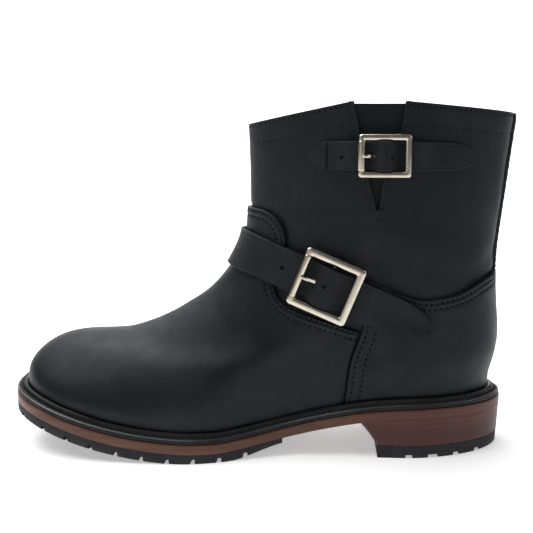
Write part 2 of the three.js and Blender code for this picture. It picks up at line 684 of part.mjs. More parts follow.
// A strap: stations along its middle line, each with points across it, laid over the form.
// Near the buckle it lies in the buckle's frame: under the roller, over the middle bar and
// under the heel bar.
function makeStrap({ line, stations, width, taper, spec, frame, lift }) {
  const across = [-1, -0.5, 0, 0.5, 1];
  const bulge = spec.long / 2 - spec.bar - 0.5;
  const rise = (a) => (Math.abs(a) < bulge
    ? STRAP_RISE * 0.5 * (1 + Math.cos((Math.PI * a) / bulge))
    : 0);
  const point = ({ phi, medial }, k, extra) => {
    const middleRing = ringAtHeight(phi, line);
    const middle = form(phi, middleRing);
    const half = (width / 2) * taper(middle.x, medial);
    const lean = STRAP_LEAN * Math.sin(rad(spec.tilt)) * k * smooth(Math.abs(phi), 0.15, 0.9);
    const turn = phi + (medial ? -lean : lean) * (half / (width / 2));
    const height = line(middle.x) + k * half * Math.cos(rad(spec.tilt));
    const t = ringAtHeight(turn, () => height);
    const base = form(turn, t);
    const laid = skin(turn, t, lift + extra);
    const local = base.clone().sub(frame.origin);
    const a = local.dot(frame.e1);
    const raise = STRAP_LIFT + rise(a) + extra - local.dot(frame.out);
    const planar = base.clone().addScaledVector(frame.out, raise);
    const share = medial ? 0 : 1 - smooth(Math.abs(a), spec.long / 2, spec.long / 2 + 14);
    return laid.lerp(planar, share);
  };
  const grid = (extra) => stations.map((station) => across.map((k) => point(station, k, extra)));
  const strap = toSolid(between(grid(STRAP_THICK), grid(0), false));
  return toGeometry(strap.subtract(prongRoom(spec, frame)));
}

// Stations at even steps of x on one side of the boot.
function sideStations(line, fromX, toX, count, sign) {
  return Array.from({ length: count }, (unused, i) => {
    const x = fromX + ((toX - fromX) * i) / (count - 1);
    return { phi: findOnSide(x, line(x), sign).phi, medial: sign > 0 };
  });
}

function makeInstepStrap() {
  const line = lineCurve(INSTEP_LINE);
  const tip = alongToX(INSTEP_TIP);
  const frontX = alongToX(0.43);
  const tail = sideStations(line, tip - 0.5, tip - 15, 6, -1);
  const middle = sideStations(line, tip - 19, frontX, 28, -1);
  const lastPhi = middle[middle.length - 1].phi;
  const endPhi = findOnSide(alongToX(INSTEP_END), line(alongToX(INSTEP_END)), 1).phi;
  const round = Array.from({ length: 20 }, (unused, i) => {
    const phi = lastPhi + ((endPhi - lastPhi) * (i + 1)) / 20;
    return { phi, medial: phi > 0 };
  });
  const taper = (x, medial) => {
    const d = (tip - x) / 22;
    return medial || d > 1 ? 1 : Math.sqrt(Math.max(1 - (1 - d) ** 2, 0.01));
  };
  return makeStrap({
    line,
    stations: [...tail, ...middle, ...round],
    width: INSTEP_STRAP_WIDTH,
    taper,
    spec: INSTEP_BUCKLE,
    frame: instepFrame,
    lift: GAP + OVERLAY + 1,
  });
}

function makeShaftStrap() {
  const line = lineCurve(SHAFT_LINE);
  const tip = alongToX(SHAFT_TIP);
  const start = alongToX(SHAFT_START);
  const tail = sideStations(line, tip - 0.5, tip - 12, 6, -1);
  const middle = sideStations(line, tip - 15, start + 9, 28, -1);
  const point = sideStations(line, start + 6, start + 0.6, 3, -1);
  const taper = (x) => {
    const d = (tip - x) / 16;
    const front = (x - start) / 9;
    return Math.min(d > 1 ? 1 : Math.sqrt(Math.max(1 - (1 - d) ** 2, 0.01)), clamp(front, 0.06, 1));
  };
  return makeStrap({
    line,
    stations: [...tail, ...middle, ...point],
    width: SHAFT_STRAP_WIDTH,
    taper,
    spec: SHAFT_BUCKLE,
    frame: shaftFrame,
    lift: 0.6,
  });
}

// The sole's outline: the feather line moved outward in plan.
function edgeWidth(phi) {
  const s = (1 + Math.cos(phi)) / 2;
  const side = Math.sin(phi) < 0 ? EDGE_OUTER : EDGE_INNER;
  return side + (EDGE_TOE - side) * smooth(s, 0.72, 1) + (EDGE_HEEL - side) * (1 - smooth(s, 0, 0.15));
}

// The welt: a strip around the feather line, with a bead against the upper.
function makeWelt() {
  const inside = GAP + OVERLAY + GAP;
  const section = (phi) => {
    const foot = featherPoint(phi, inside);
    const head = skin(phi, 0.65, inside);
    const normal = featherNormal(phi);
    const out = (point, distance) => point.clone().addScaledVector(normal, distance);
    const level = (point, height) => new THREE.Vector3(point.x, point.y, bed(point.x) + height);
    const edge = featherPoint(phi, edgeWidth(phi));
    const tuck = featherPoint(phi, -WALL);
    return [
      level(tuck, -WELT_THICK),
      level(edge, -WELT_THICK),
      level(edge, -0.5),
      level(out(edge, -0.6), 0),
      level(out(foot, BEAD_WIDTH + 0.5), 0),
      level(out(foot, BEAD_WIDTH + 0.2), BEAD_HEIGHT * 0.62),
      level(out(head, BEAD_WIDTH * 0.55), BEAD_HEIGHT),
      head,
      level(foot, 0),
      level(tuck, 0),
    ];
  };
  const rings = turns.map(section);
  const size = rings[0].length;
  const points = rings.flat();
  const faces = [];
  for (let i = 0; i < rings.length; i += 1) {
    const next = (i + 1) % rings.length;
    for (let j = 0; j < size; j += 1) {
      const k = (j + 1) % size;
      const corners = [i * size + j, next * size + j, next * size + k, i * size + k];
      faces.push([corners[0], corners[1], corners[2]], [corners[0], corners[2], corners[3]]);
    }
  }
  return closedGeometry(points, faces);
}

// Pairs of outline points at one distance from the feather line, from the toe to the heel.
const halfTurns = turns.filter((phi) => phi > 0);
function outlinePairs(distanceAt, heightAt, fromX, toX) {
  const pairs = halfTurns.map((phi) => [-phi, phi].map((turn) => {
    const point = featherPoint(turn, distanceAt(turn));
    const x = clamp(point.x, fromX, toX);
    return new THREE.Vector3(x, point.y, heightAt(x));
  }));
  return pairs.filter(([a, b]) => Math.max(a.x, b.x) > fromX + 1e-6 && Math.min(a.x, b.x) < toX - 1e-6);
}
const plate = (distanceAt, topAt, bottomAt) => pairedLevels(
  [topAt, bottomAt].map((heightAt) => outlinePairs(distanceAt, heightAt, -LENGTH, LENGTH)),
);
const makeMidsole = () => plate((phi) => edgeWidth(phi) + 0.3, midsoleTop, under);
const makeInsole = () => plate(
  () => -WALL - 2 * GAP,
  (x) => midsoleTop(x) + GAP + INSOLE_THICK,
  (x) => midsoleTop(x) + GAP,
);

// Where an outline at a distance from the feather line passes x, on one side.
function outlineAt(x, distanceAt, sign) {
  let low = 0;
  let high = Math.PI;
  for (let i = 0; i < 40; i += 1) {
    const phi = (low + high) / 2;
    if (featherPoint(sign * phi, distanceAt(sign * phi)).x < x) {
      low = phi;
    } else {
      high = phi;
    }
  }
  return featherPoint(sign * low, distanceAt(sign * low)).y;
}

// A box across the sole's edge for the cut between two lugs.
function lugCut(x, sign, bottom, edge) {
  const reach = LUG_CUT_REACH + 10;
  const box = new THREE.BoxGeometry(LUG_CUT_WIDTH, reach, 2 * LUG_CUT_DEPTH);
  box.translate(x, edge - sign * (LUG_CUT_REACH - reach / 2), bottom);
  return toSolid(box);
}

// The rubber half sole: full at the ball, thinner to its end, with lugs around its edge and
// across its middle.
function makeHalfSole() {
  const endX = alongToX(HALF_SOLE_END);
  const distanceAt = (phi) => edgeWidth(phi) + 0.3;
  const bottomAt = (x) => under(x) - TREAD - FLAT + smooth(x, alongToX(0.54), endX) * SKIVE;
  const shape = (heightAt) => {
    const pairs = outlinePairs(distanceAt, heightAt, -LENGTH, endX - 4);
    const end = [-1, 1].map((sign) => outlineAt(endX, distanceAt, sign));
    return [...pairs, end.map((y) => new THREE.Vector3(endX, y, heightAt(endX)))];
  };
  const floor = new THREE.BoxGeometry(2 * LENGTH, LENGTH, 20);
  floor.translate(0, 0, -10);
  const whole = toSolid(pairedLevels([shape((x) => under(x) - GAP), shape(bottomAt)]));
  let solid = whole.subtract(toSolid(floor));
  for (const along of SOLE_CUTS) {
    const x = alongToX(along);
    for (const sign of [-1, 1]) {
      const edge = outlineAt(x, distanceAt, sign);
      solid = solid.subtract(lugCut(x, sign, Math.max(bottomAt(x), 0), edge));
    }
    if (along < 0.9) {
      const bar = new THREE.BoxGeometry(LUG_CUT_WIDTH, 0.36 * BALL_WIDTH, 2 * LUG_CUT_DEPTH);
      const midX = alongToX(along + 0.0245);
      bar.translate(midX, TOE_SWAY * 0.5, Math.max(bottomAt(midX), 0));
      solid = solid.subtract(toSolid(bar));
    }
  }
  return toGeometry(solid);
}

// The heel block and its top lift: the sole's outline behind the breast, drawn in a little
// towards the floor. The breast's lip reaches forward at the top.
function heelPairs(heightAt, taper, lip) {
  const breastX = alongToX(BREAST);
  const sideways = (phi) => smooth(Math.abs(Math.sin(phi)), 0, 1);
  const distanceAt = (phi) => edgeWidth(phi) + 0.3 - taper * (1 - 0.5 * sideways(phi));
  const back = outlinePairs(distanceAt, heightAt, breastX + 3, LENGTH);
  const corner = [-1, 1].map((sign) => outlineAt(breastX, distanceAt, sign));
  const front = [0.2, 0.55, 0.85, 1].map((share) => corner.map((y) => {
    const x = breastX - lip * (1 - share ** 2) + y * share * Math.tan(rad(BREAST_SKEW));
    return new THREE.Vector3(x, y * share, heightAt(x));
  }));
  return [...front, ...back];
}
function makeHeelStack() {
  const lip = BREAST_LIP * LENGTH;
  const low = LIFT_THICK + GAP;
  const levels = [0, 0.3, 0.6, 0.82, 1].map((share) => heelPairs(
    (x) => low + (under(x) - GAP - low) * share,
    2.2 * (1 - share),
    lip * share ** 1.5,
  ));
  return pairedLevels(levels);
}
function makeTopLift() {
  const levels = [0, 0.2, 1].map((share) => {
    const taper = share > 0 ? 2.2 : 2.8;
    return heelPairs(() => LIFT_THICK * share, taper, 0);
  });
  let solid = toSolid(pairedLevels(levels));
  const distanceAt = (phi) => edgeWidth(phi) - 2;
  for (const along of LIFT_CUTS) {
    const x = alongToX(along);
    for (const sign of [-1, 1]) {
      solid = solid.subtract(lugCut(x, sign, 0, outlineAt(x, distanceAt, sign)));
    }
  }
  return toGeometry(solid);
}

const leather = (color) => ({ color, roughness: 0.55, metalness: 0 });
const LOOKS = {
  shaft: leather(0x222428),
  vamp: leather(0x272b2e),
  strap: leather(0x232428),
  gusset: leather(0x1e1f24),
  nickel: { color: 0xb9b2a4, roughness: 0.28, metalness: 1 },
  welt: { color: 0x1b1c1f, roughness: 0.5, metalness: 0 },
  midsole: { color: 0x6b4a38, roughness: 0.6, metalness: 0 },
  stack: { color: 0x5d3b33, roughness: 0.5, metalness: 0 },
  rubber: { color: 0x2a2a2d, roughness: 0.8, metalness: 0 },
  insole: { color: 0x8a6a4a, roughness: 0.8, metalness: 0 },
};

const PIECES = [
  ['upper', makeUpper, 'shaft'],
  ['vamp', makeVamp, 'vamp'],
  ['counter', makeCounter, 'vamp'],
  ['gusset', makeGusset, 'gusset'],
  ['back_piping', makePiping, 'shaft'],
  ['instep_strap', makeInstepStrap, 'strap'],
  ['instep_billet', () => makeBillet(INSTEP_BUCKLE, instepFrame, INSTEP_STRAP_WIDTH), 'strap'],
  ['instep_buckle_frame', () => makeBuckle(INSTEP_BUCKLE, instepFrame), 'nickel'],
  ['instep_buckle_roller', () => makeRoller(INSTEP_BUCKLE, instepFrame), 'nickel'],
  ['instep_buckle_prong', () => makeProng(INSTEP_BUCKLE, instepFrame), 'nickel'],
  ['shaft_strap', makeShaftStrap, 'strap'],
  ['shaft_billet', () => makeBillet(SHAFT_BUCKLE, shaftFrame, SHAFT_STRAP_WIDTH), 'strap'],
  ['shaft_buckle_frame', () => makeBuckle(SHAFT_BUCKLE, shaftFrame), 'nickel'],
  ['shaft_buckle_roller', () => makeRoller(SHAFT_BUCKLE, shaftFrame), 'nickel'],
  ['shaft_buckle_prong', () => makeProng(SHAFT_BUCKLE, shaftFrame), 'nickel'],
  ['welt', makeWelt, 'welt'],
  ['midsole', makeMidsole, 'midsole'],
  ['outsole_forefoot', makeHalfSole, 'rubber'],
  ['heel_stack', makeHeelStack, 'stack'],
  ['top_lift', makeTopLift, 'rubber'],
  ['insole', makeInsole, 'insole'],
];

const boot = new THREE.Group();
for (const [name, make, look] of PIECES) {
  const mesh = new THREE.Mesh(make(), new THREE.MeshStandardMaterial(LOOKS[look]));
  mesh.name = name;
  boot.add(mesh);
}

// The origin goes on the floor under the middle of the whole boot's box.
const box = new THREE.Box3().setFromObject(boot);
boot.position.set(-(box.min.x + box.max.x) / 2, -(box.min.y + box.max.y) / 2, -box.min.z);
boot.updateMatrixWorld(true);

export default boot;
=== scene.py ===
"""A short black leather engineer boot for the left foot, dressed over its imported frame.

The script is laid out as an add-on and run as a script. Sizes are in millimetres in the
drawing functions, which follow the same form as the solids, and become metres in the mesh.
"""

import math

import bmesh
import bpy
import numpy as np
from mathutils import Matrix, Vector


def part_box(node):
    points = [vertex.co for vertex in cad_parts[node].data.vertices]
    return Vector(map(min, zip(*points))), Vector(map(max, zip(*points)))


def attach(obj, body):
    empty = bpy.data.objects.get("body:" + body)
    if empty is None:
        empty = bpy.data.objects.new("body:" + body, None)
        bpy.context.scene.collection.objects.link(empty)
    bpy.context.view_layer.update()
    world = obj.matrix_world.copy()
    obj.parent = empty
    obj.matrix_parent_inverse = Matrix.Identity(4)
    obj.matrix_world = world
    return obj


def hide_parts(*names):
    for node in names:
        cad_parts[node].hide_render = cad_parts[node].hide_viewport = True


bl_info = {
    "name": "Engineer boot",
    "version": (1, 0, 0),
    "blender": (4, 5, 0),
    "location": "3D View > Sidebar > Boot",
    "description": "Builds a leather engineer boot with its straps, buckles, welt and stacked heel",
    "category": "Object",
}

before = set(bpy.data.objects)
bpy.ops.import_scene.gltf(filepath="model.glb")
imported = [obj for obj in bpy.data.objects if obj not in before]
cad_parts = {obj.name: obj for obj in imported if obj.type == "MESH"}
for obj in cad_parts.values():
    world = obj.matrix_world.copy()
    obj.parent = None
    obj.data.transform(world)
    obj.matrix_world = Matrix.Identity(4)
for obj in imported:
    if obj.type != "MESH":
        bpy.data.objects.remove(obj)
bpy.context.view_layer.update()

# Sizes of the boot in millimetres, the same as its solids have.
LENGTH, HEIGHT = 305.0, 206.0
BALL_WIDTH, HEEL_WIDTH = 97.0, 70.0
TOE_BOX, HEEL_RISE, TOE_SPRING, TOE_SWAY = 43.0, 19.0, 22.5, 4.0
WALL, OVERLAY, STRAP_THICK, GAP = 2.4, 1.8, 2.0, 0.3
WELT_THICK, MIDSOLE_THICK, TREAD, LIFT_THICK, INSOLE_THICK = 2.8, 5.6, 5.4, 7.7, 4.0
EDGE_TOE, EDGE_OUTER, EDGE_INNER, EDGE_HEEL = 9.2, 8.4, 7.8, 9.0
BEAD_WIDTH, BEAD_HEIGHT = 3.2, 3.0
INSTEP_WIDTH, SHAFT_WIDTH = 25.0, 16.6
PIPING_WIDTH, PIPING_HEIGHT, PIPING_FOOT = 5.0, 2.4, 0.536
BREAST, BREAST_LIP, BREAST_SKEW, HALF_SOLE_END, SKIVE, FLAT = 0.254, 0.026, 3.3, 0.444, 3.0, 0.8
SOLE_CUTS = (0.515, 0.564, 0.613, 0.662, 0.711, 0.760, 0.809, 0.858, 0.907, 0.956)
LIFT_CUTS = ((0.060, 3.4), (0.105, 4.0), (0.152, 6.4), (0.199, 4.6))
HEEL_TAPER, BREAST_REACH, LIFT_LIP = 0.8, 1.75, 1.8

# Height of the sole's underside over the tread: along, share of heel rise, share of toe spring.
SOLE = (
    (0.000, 1.000, 0.00), (0.090, 1.000, 0.00), (0.172, 0.985, 0.00), (0.221, 0.950, 0.00),
    (0.272, 0.875, 0.00), (0.333, 0.715, 0.00), (0.389, 0.520, 0.00), (0.444, 0.300, 0.00),
    (0.500, 0.130, 0.00), (0.533, 0.050, 0.00), (0.566, 0.000, 0.00), (0.598, 0.000, 0.00),
    (0.631, 0.000, 0.01), (0.680, 0.000, 0.05), (0.746, 0.000, 0.17), (0.811, 0.000, 0.35),
    (0.877, 0.000, 0.58), (0.943, 0.000, 0.83), (1.000, 0.000, 1.00),
)
# Rings of the form from the feather line to above the collar.
RING_NAMES = (
    "front", "toe", "leg", "back", "rear", "bed", "sway", "heel", "waist_outer", "waist_inner",
    "ball_outer", "ball_inner", "heel_share", "heel_power", "toe_share", "toe_power",
)
RINGS = (
    (0.955, 0.008, 0.000, 0.0340, 0.002, 1.00, 1.00, 0.890, 0.820, 0.590, 0.935, 0.880, 0.19, 1.75, 0.31, 2.70),
    (0.957, 0.072, 0.000, 0.0345, 0.021, 1.00, 1.00, 0.930, 0.875, 0.670, 0.970, 0.920, 0.18, 1.85, 0.32, 2.60),
    (0.957, 0.175, 0.000, 0.0340, 0.053, 1.00, 1.00, 0.960, 0.910, 0.760, 1.000, 0.955, 0.17, 1.95, 0.33, 2.50),
    (0.951, 0.350, 0.000, 0.0290, 0.089, 1.00, 0.97, 0.985, 0.932, 0.830, 0.990, 0.945, 0.17, 2.05, 0.36, 2.30),
    (0.918, 0.628, 0.000, 0.0240, 0.128, 1.00, 0.90, 0.995, 0.945, 0.885, 0.935, 0.890, 0.15, 2.10, 0.40, 2.10),
    (0.854, 0.905, 0.000, 0.0205, 0.172, 0.95, 0.77, 1.000, 0.955, 0.930, 0.855, 0.815, 0.17, 2.10, 0.46, 2.00),
    (0.756, 0.979, 0.029, 0.0220, 0.220, 0.80, 0.57, 1.005, 0.965, 0.955, 0.795, 0.765, 0.20, 2.10, 0.55, 1.95),
    (0.654, 1.000, 0.104, 0.0260, 0.279, 0.55, 0.37, 1.015, 0.995, 0.990, 0.770, 0.750, 0.24, 2.10, 0.62, 1.95),
    (0.587, 1.000, 0.174, 0.0285, 0.347, 0.28, 0.20, 1.035, 1.030, 1.030, 0.770, 0.760, 0.29, 2.10, 0.64, 1.95),
    (0.544, 1.000, 0.245, 0.0280, 0.419, 0.10, 0.07, 1.055, 1.055, 1.055, 0.770, 0.770, 0.35, 2.05, 0.62, 1.95),
    (0.518, 1.000, 0.315, 0.0230, 0.502, 0.00, 0.00, 1.070, 1.070, 1.070, 0.772, 0.772, 0.41, 2.00, 0.58, 2.00),
    (0.510, 1.000, 0.398, 0.0160, 0.599, 0.00, 0.00, 1.065, 1.065, 1.065, 0.769, 0.769, 0.46, 2.00, 0.54, 2.00),
    (0.511, 1.000, 0.568, 0.0070, 0.725, 0.00, 0.00, 1.050, 1.050, 1.050, 0.758, 0.758, 0.49, 2.00, 0.51, 2.00),
    (0.516, 1.000, 0.705, -0.0050, 0.881, 0.00, 0.00, 1.040, 1.040, 1.040, 0.751, 0.751, 0.50, 2.00, 0.50, 2.00),
)
# Lines of the side view as shares along the boot from the heel and up from the floor.
COLLAR = ((0.560, 0.925), (0.318, 1.000), (0.223, 1.000), (-0.015, 0.970), (-0.060, 0.965))
NOTCH_FRONT = ((0.272, 0.705), (0.286, 0.780), (0.309, 0.935), (0.318, 1.000))
NOTCH_BACK = ((0.268, 0.705), (0.263, 0.780), (0.229, 0.935), (0.223, 1.000))
NOTCH_TIP = (0.270, 0.705)
VAMP_EDGE = (
    (0.332, 0.060), (0.3255, 0.147), (0.318, 0.250), (0.310, 0.305), (0.2965, 0.362), (0.372, 0.397),
    (0.405, 0.413), (0.432, 0.428), (0.453, 0.455), (0.461, 0.495), (0.456, 0.544), (0.440, 0.603), (0.445, 0.655),
    (0.462, 0.684), (0.486, 0.699), (0.600, 0.700),
)
SEAM = ((0.331, 0.060), (0.3245, 0.147), (0.317, 0.250), (0.309, 0.305), (0.2955, 0.362), (0.290, 0.430), (0.286, 0.516))
COUNTER_TOP = (
    (0.286, 0.516), (0.225, 0.474), (0.180, 0.457), (0.149, 0.461), (0.108, 0.476), (0.062, 0.506),
    (-0.050, 0.545),
)
INSTEP_LINE = (
    (0.538, 0.588), (0.459, 0.551), (0.417, 0.528), (0.364, 0.495), (0.309, 0.462), (0.225, 0.411),
    (0.150, 0.371),
)
SHAFT_LINE = ((0.430, 0.852), (0.260, 0.853), (0.060, 0.849))
INSTEP_TIP, INSTEP_END, SHAFT_TIP, SHAFT_START = 0.163, 0.312, 0.090, 0.403
STRAP_LIFT, STRAP_RISE, STRAP_LEAN = 2.8, 5.8, 0.18
BUCKLE_LIFT, BUCKLE_THICK, ROLLER_RADIUS, ROLLER_BORE, PIN_RADIUS = 7.2, 3.0, 2.1, 1.3, 1.0
CENTRE_BAR_LIFT, CENTRE_BAR_RADIUS, PRONG_WIDTH = 5.9, 0.9, 2.4
BUCKLES = {
    "instep": {"along": 0.361, "up": 0.495, "long": 36.2, "wide": 35.0, "bar": 4.5, "tilt": 22.0},
    "shaft": {"along": 0.2615, "up": 0.853, "long": 29.0, "wide": 23.8, "bar": 3.4, "tilt": 0.0},
}


def spline(xs, ys):
    """A natural cubic spline through points, as a function of an array."""
    xs, ys = np.asarray(xs, float), np.asarray(ys, float)
    count = len(xs)
    bend, work = np.zeros(count), np.zeros(count)
    for i in range(1, count - 1):
        before, after = xs[i] - xs[i - 1], xs[i + 1] - xs[i]
        share = before / (before + after)
        pivot = share * bend[i - 1] + 2
        bend[i] = (share - 1) / pivot
        turn = (ys[i + 1] - ys[i]) / after - (ys[i] - ys[i - 1]) / before
        work[i] = (6 * turn / (before + after) - share * work[i - 1]) / pivot
    for i in range(count - 2, -1, -1):
        bend[i] = bend[i] * bend[i + 1] + work[i]

    def at(x):
        x = np.asarray(x, float)
        low = np.clip(np.searchsorted(xs, x, side="left") - 1, 0, count - 2)
        step = xs[low + 1] - xs[low]
        a = (xs[low + 1] - x) / step
        b = 1 - a
        curve = ((a**3 - a) * bend[low] + (b**3 - b) * bend[low + 1]) * step * step / 6
        return a * ys[low] + b * ys[low + 1] + curve

    return at


def smooth(value, low, high):
    """Rises softly from 0 at low to 1 at high."""
    x = np.clip((np.asarray(value, float) - low) / (high - low), 0, 1)
    return x * x * (3 - 2 * x)


def along_to_x(along):
    return LENGTH * (0.5 - np.asarray(along, float))


def x_to_along(x):
    return 0.5 - np.asarray(x, float) / LENGTH


SOLE_ROWS = np.array(SOLE)
heel_share = spline(SOLE_ROWS[:, 0], SOLE_ROWS[:, 1])
toe_share = spline(SOLE_ROWS[:, 0], SOLE_ROWS[:, 2])
RING_ROWS = np.array(RINGS)
ring = {name: spline(np.arange(len(RINGS)), RING_ROWS[:, i]) for i, name in enumerate(RING_NAMES)}


def under(x):
    """Height of the midsole's underside at x."""
    along = np.clip(x_to_along(x), 0, 1)
    return TREAD + HEEL_RISE * heel_share(along) + TOE_SPRING * toe_share(along)


def bed(x):
    """Height of the welt's flat top at x."""
    return under(x) + MIDSOLE_THICK + GAP + WELT_THICK


def rounding(share, size, power):
    inside = np.clip(1 - share / size, 0, 1)
    return (1 - inside**power) ** (1 / power)


def form(phi, t):
    """Points of the boot's form: phi is 0 at the toe and -pi/2 on the outer side, t the ring."""
    phi, t = np.broadcast_arrays(np.asarray(phi, float), np.asarray(t, float))
    s = (1 + np.cos(phi)) / 2
    outer = np.sin(phi) < 0
    front, back = along_to_x(ring["front"](t)), along_to_x(ring["back"](t))
    front_z = bed(front) + ring["toe"](t) * TOE_BOX + ring["leg"](t) * HEIGHT
    back_z = bed(back) + ring["rear"](t) * HEIGHT
    x = back + (front - back) * s
    straight = back_z + (front_z - back_z) * s
    lift = (back_z - bed(back)) * (1 - s) + (front_z - bed(front)) * s
    follow = ring["bed"](t)
    z = follow * (bed(x) + lift) + (1 - follow) * straight
    heel = ring["heel"](t) * HEEL_WIDTH / 2
    waist = np.where(outer, ring["waist_outer"](t), ring["waist_inner"](t)) * HEEL_WIDTH / 2
    ball = np.where(outer, ring["ball_outer"](t), ring["ball_inner"](t)) * BALL_WIDTH / 2
    forward = smooth((s - 0.42) / (np.where(outer, 0.66, 0.72) - 0.42), 0, 1)
    side = np.where(s < 0.42, heel + (waist - heel) * smooth(s, 0.12, 0.42), waist + (ball - waist) * forward)
    half = side * rounding(s, ring["heel_share"](t), ring["heel_power"](t))
    half = half * rounding(np.maximum(1 - s, 0), ring["toe_share"](t), ring["toe_power"](t))
    y = TOE_SWAY * ring["sway"](t) * smooth(s, 0.3, 1) + np.where(outer, -half, half)
    return np.stack([x, y, z], axis=-1)


def unit(vectors):
    return vectors / np.maximum(np.linalg.norm(vectors, axis=-1, keepdims=True), 1e-12)


def outward(phi, t):
    """The form's outward direction."""
    step = 0.002
    up = form(phi, t + step) - form(phi, t - step)
    around = form(phi + step, t) - form(phi - step, t)
    return unit(np.cross(up, around))


def skin(phi, t, distance):
    """The form's point at a distance outside it."""
    phi, t = np.broadcast_arrays(np.asarray(phi, float), np.asarray(t, float))
    return form(phi, t) + outward(phi, t) * np.asarray(distance, float)[..., None]


def find_on_side(x, z):
    """Turn (positive) and ring where the form passes the side view's point (x, z)."""
    x, z = np.broadcast_arrays(np.asarray(x, float), np.asarray(z, float))
    low, high = np.zeros(x.shape), np.full(x.shape, len(RINGS) - 1.0)
    for _ in range(40):
        t = (low + high) / 2
        front, back = along_to_x(ring["front"](t)), along_to_x(ring["back"](t))
        phi = np.arccos(np.clip(2 * (x - back) / (front - back) - 1, -1, 1))
        below = form(phi, t)[..., 2] < z
        low, high = np.where(below, t, low), np.where(below, high, t)
    return phi, low


def ring_at_height(phi, height_at):
    """The ring where the form reaches a height that depends on x, at turn phi."""
    phi = np.asarray(phi, float)
    low, high = np.zeros(phi.shape), np.full(phi.shape, len(RINGS) - 1.0)
    for _ in range(40):
        t = (low + high) / 2
        point = form(phi, t)
        below = point[..., 2] < height_at(point[..., 0])
        low, high = np.where(below, t, low), np.where(below, high, t)
    return low


def line_pieces(table):
    """Height of a side line at x, by straight pieces."""
    rows = np.array(sorted(table))
    return lambda x: HEIGHT * np.interp(x_to_along(x), rows[:, 0], rows[:, 1])


def line_curve(table):
    """Height of a side line at x, as a smooth curve."""
    rows = np.array(sorted(table))
    curve = spline(rows[:, 0], rows[:, 1])
    return lambda x: HEIGHT * curve(x_to_along(x))


collar_at = line_pieces(COLLAR)


def feather_normal(phi):
    step = 0.002
    along = form(phi + step, 0) - form(phi - step, 0)
    return unit(np.stack([-along[..., 1], along[..., 0], np.zeros(along.shape[:-1])], axis=-1))


def feather_point(phi, distance):
    """The feather line moved outward in plan, at its own lift over the welt's top."""
    line = form(phi, 0)
    point = line + feather_normal(phi) * np.asarray(distance, float)[..., None]
    point[..., 2] = line[..., 2] - bed(line[..., 0]) + bed(point[..., 0])
    return point


def edge_width(phi):
    """How far the sole's edge stands outside the feather line."""
    s = (1 + np.cos(phi)) / 2
    side = np.where(np.sin(phi) < 0, EDGE_OUTER, EDGE_INNER)
    return side + (EDGE_TOE - side) * smooth(s, 0.72, 1) + (EDGE_HEEL - side) * (1 - smooth(s, 0, 0.15))


def side_points(table):
    rows = np.array(table)
    return np.stack([along_to_x(rows[:, 0]), rows[:, 1] * HEIGHT], axis=-1)


def curve_through(points, count):
    """A smooth curve through points of a plane or of space, with even steps."""
    points = np.asarray(points, float)
    gaps = np.linalg.norm(np.diff(points, axis=0), axis=1) ** 0.5
    knots = np.concatenate([[0], np.cumsum(gaps)])
    dense = np.linspace(0, knots[-1], 40 * len(points))
    curve = np.stack([spline(knots, points[:, i])(dense) for i in range(points.shape[1])], axis=-1)
    return even_steps(curve, count)


def even_steps(curve, count):
    lengths = np.concatenate([[0], np.cumsum(np.linalg.norm(np.diff(curve, axis=0), axis=1))])
    at = np.linspace(0, lengths[-1], count)
    return np.stack([np.interp(at, lengths, curve[:, i]) for i in range(curve.shape[1])], axis=-1)


def distance_to(line, points):
    """Distance in the side view from points to a line of many short pieces."""
    flat = points.reshape(-1, points.shape[-1])[:, [0, 2]]
    start, run = line[:-1], np.diff(line, axis=0)
    best = np.full(len(flat), 1e9)
    for a, d in zip(start, run):
        share = np.clip(((flat - a) @ d) / (d @ d), 0, 1)
        gap = np.hypot(*(flat - a - share[:, None] * d).T)
        best = np.minimum(best, gap)
    return best.reshape(points.shape[:-1])


TURNS_OF_SOLIDS = 2 * np.pi * (np.arange(48) + 0.5) / 48 - np.pi
_low = np.array(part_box("midsole")[0]) * 1000
_edge = feather_point(TURNS_OF_SOLIDS, edge_width(TURNS_OF_SOLIDS) + 0.3)
SHIFT = np.array([_low[0] - _edge[:, 0].min(), _low[1] - _edge[:, 1].min(), 0.0])


def to_metres(points):
    """From the drawing's millimetres to the row's frame in metres."""
    return (np.asarray(points, float) + SHIFT) * 0.001


def ripple(points, seed=0.0):
    """Slow unevenness of leather, between about -1 and 1, from a few crossing waves."""
    x, y, z = points[..., 0], points[..., 1], points[..., 2]
    value = np.sin(0.071 * x + 0.043 * z + 1.3 + seed) * np.sin(0.064 * z - 0.031 * x + 0.05 * y + seed)
    value = value + 0.6 * np.sin(0.137 * z + 0.052 * x + 2.1 * seed + 0.4) * np.sin(0.119 * x - 0.083 * y)
    value = value + 0.35 * np.sin(0.23 * x + 0.19 * z + 0.9) * np.sin(0.21 * y - 0.17 * z + seed)
    return value / 1.6


def trough(points, start, end, width):
    """1 along a line of the side view and 0 away from it, for a crease or a ridge."""
    line = np.array([start, end], float)
    gap = distance_to(line, points)
    return np.exp(-((gap / width) ** 2))


# Meshes from grids of points.

def grid_quads(rows, cols, base=0, wrap=False):
    """Quads between the points of a grid, laid out row by row."""
    last = cols if wrap else cols - 1
    r, c = np.meshgrid(np.arange(rows - 1), np.arange(last), indexing="ij")
    nxt = (c + 1) % cols
    quads = np.stack([r * cols + c, r * cols + nxt, (r + 1) * cols + nxt, (r + 1) * cols + c], axis=-1)
    return (quads.reshape(-1, 4) + base).tolist()


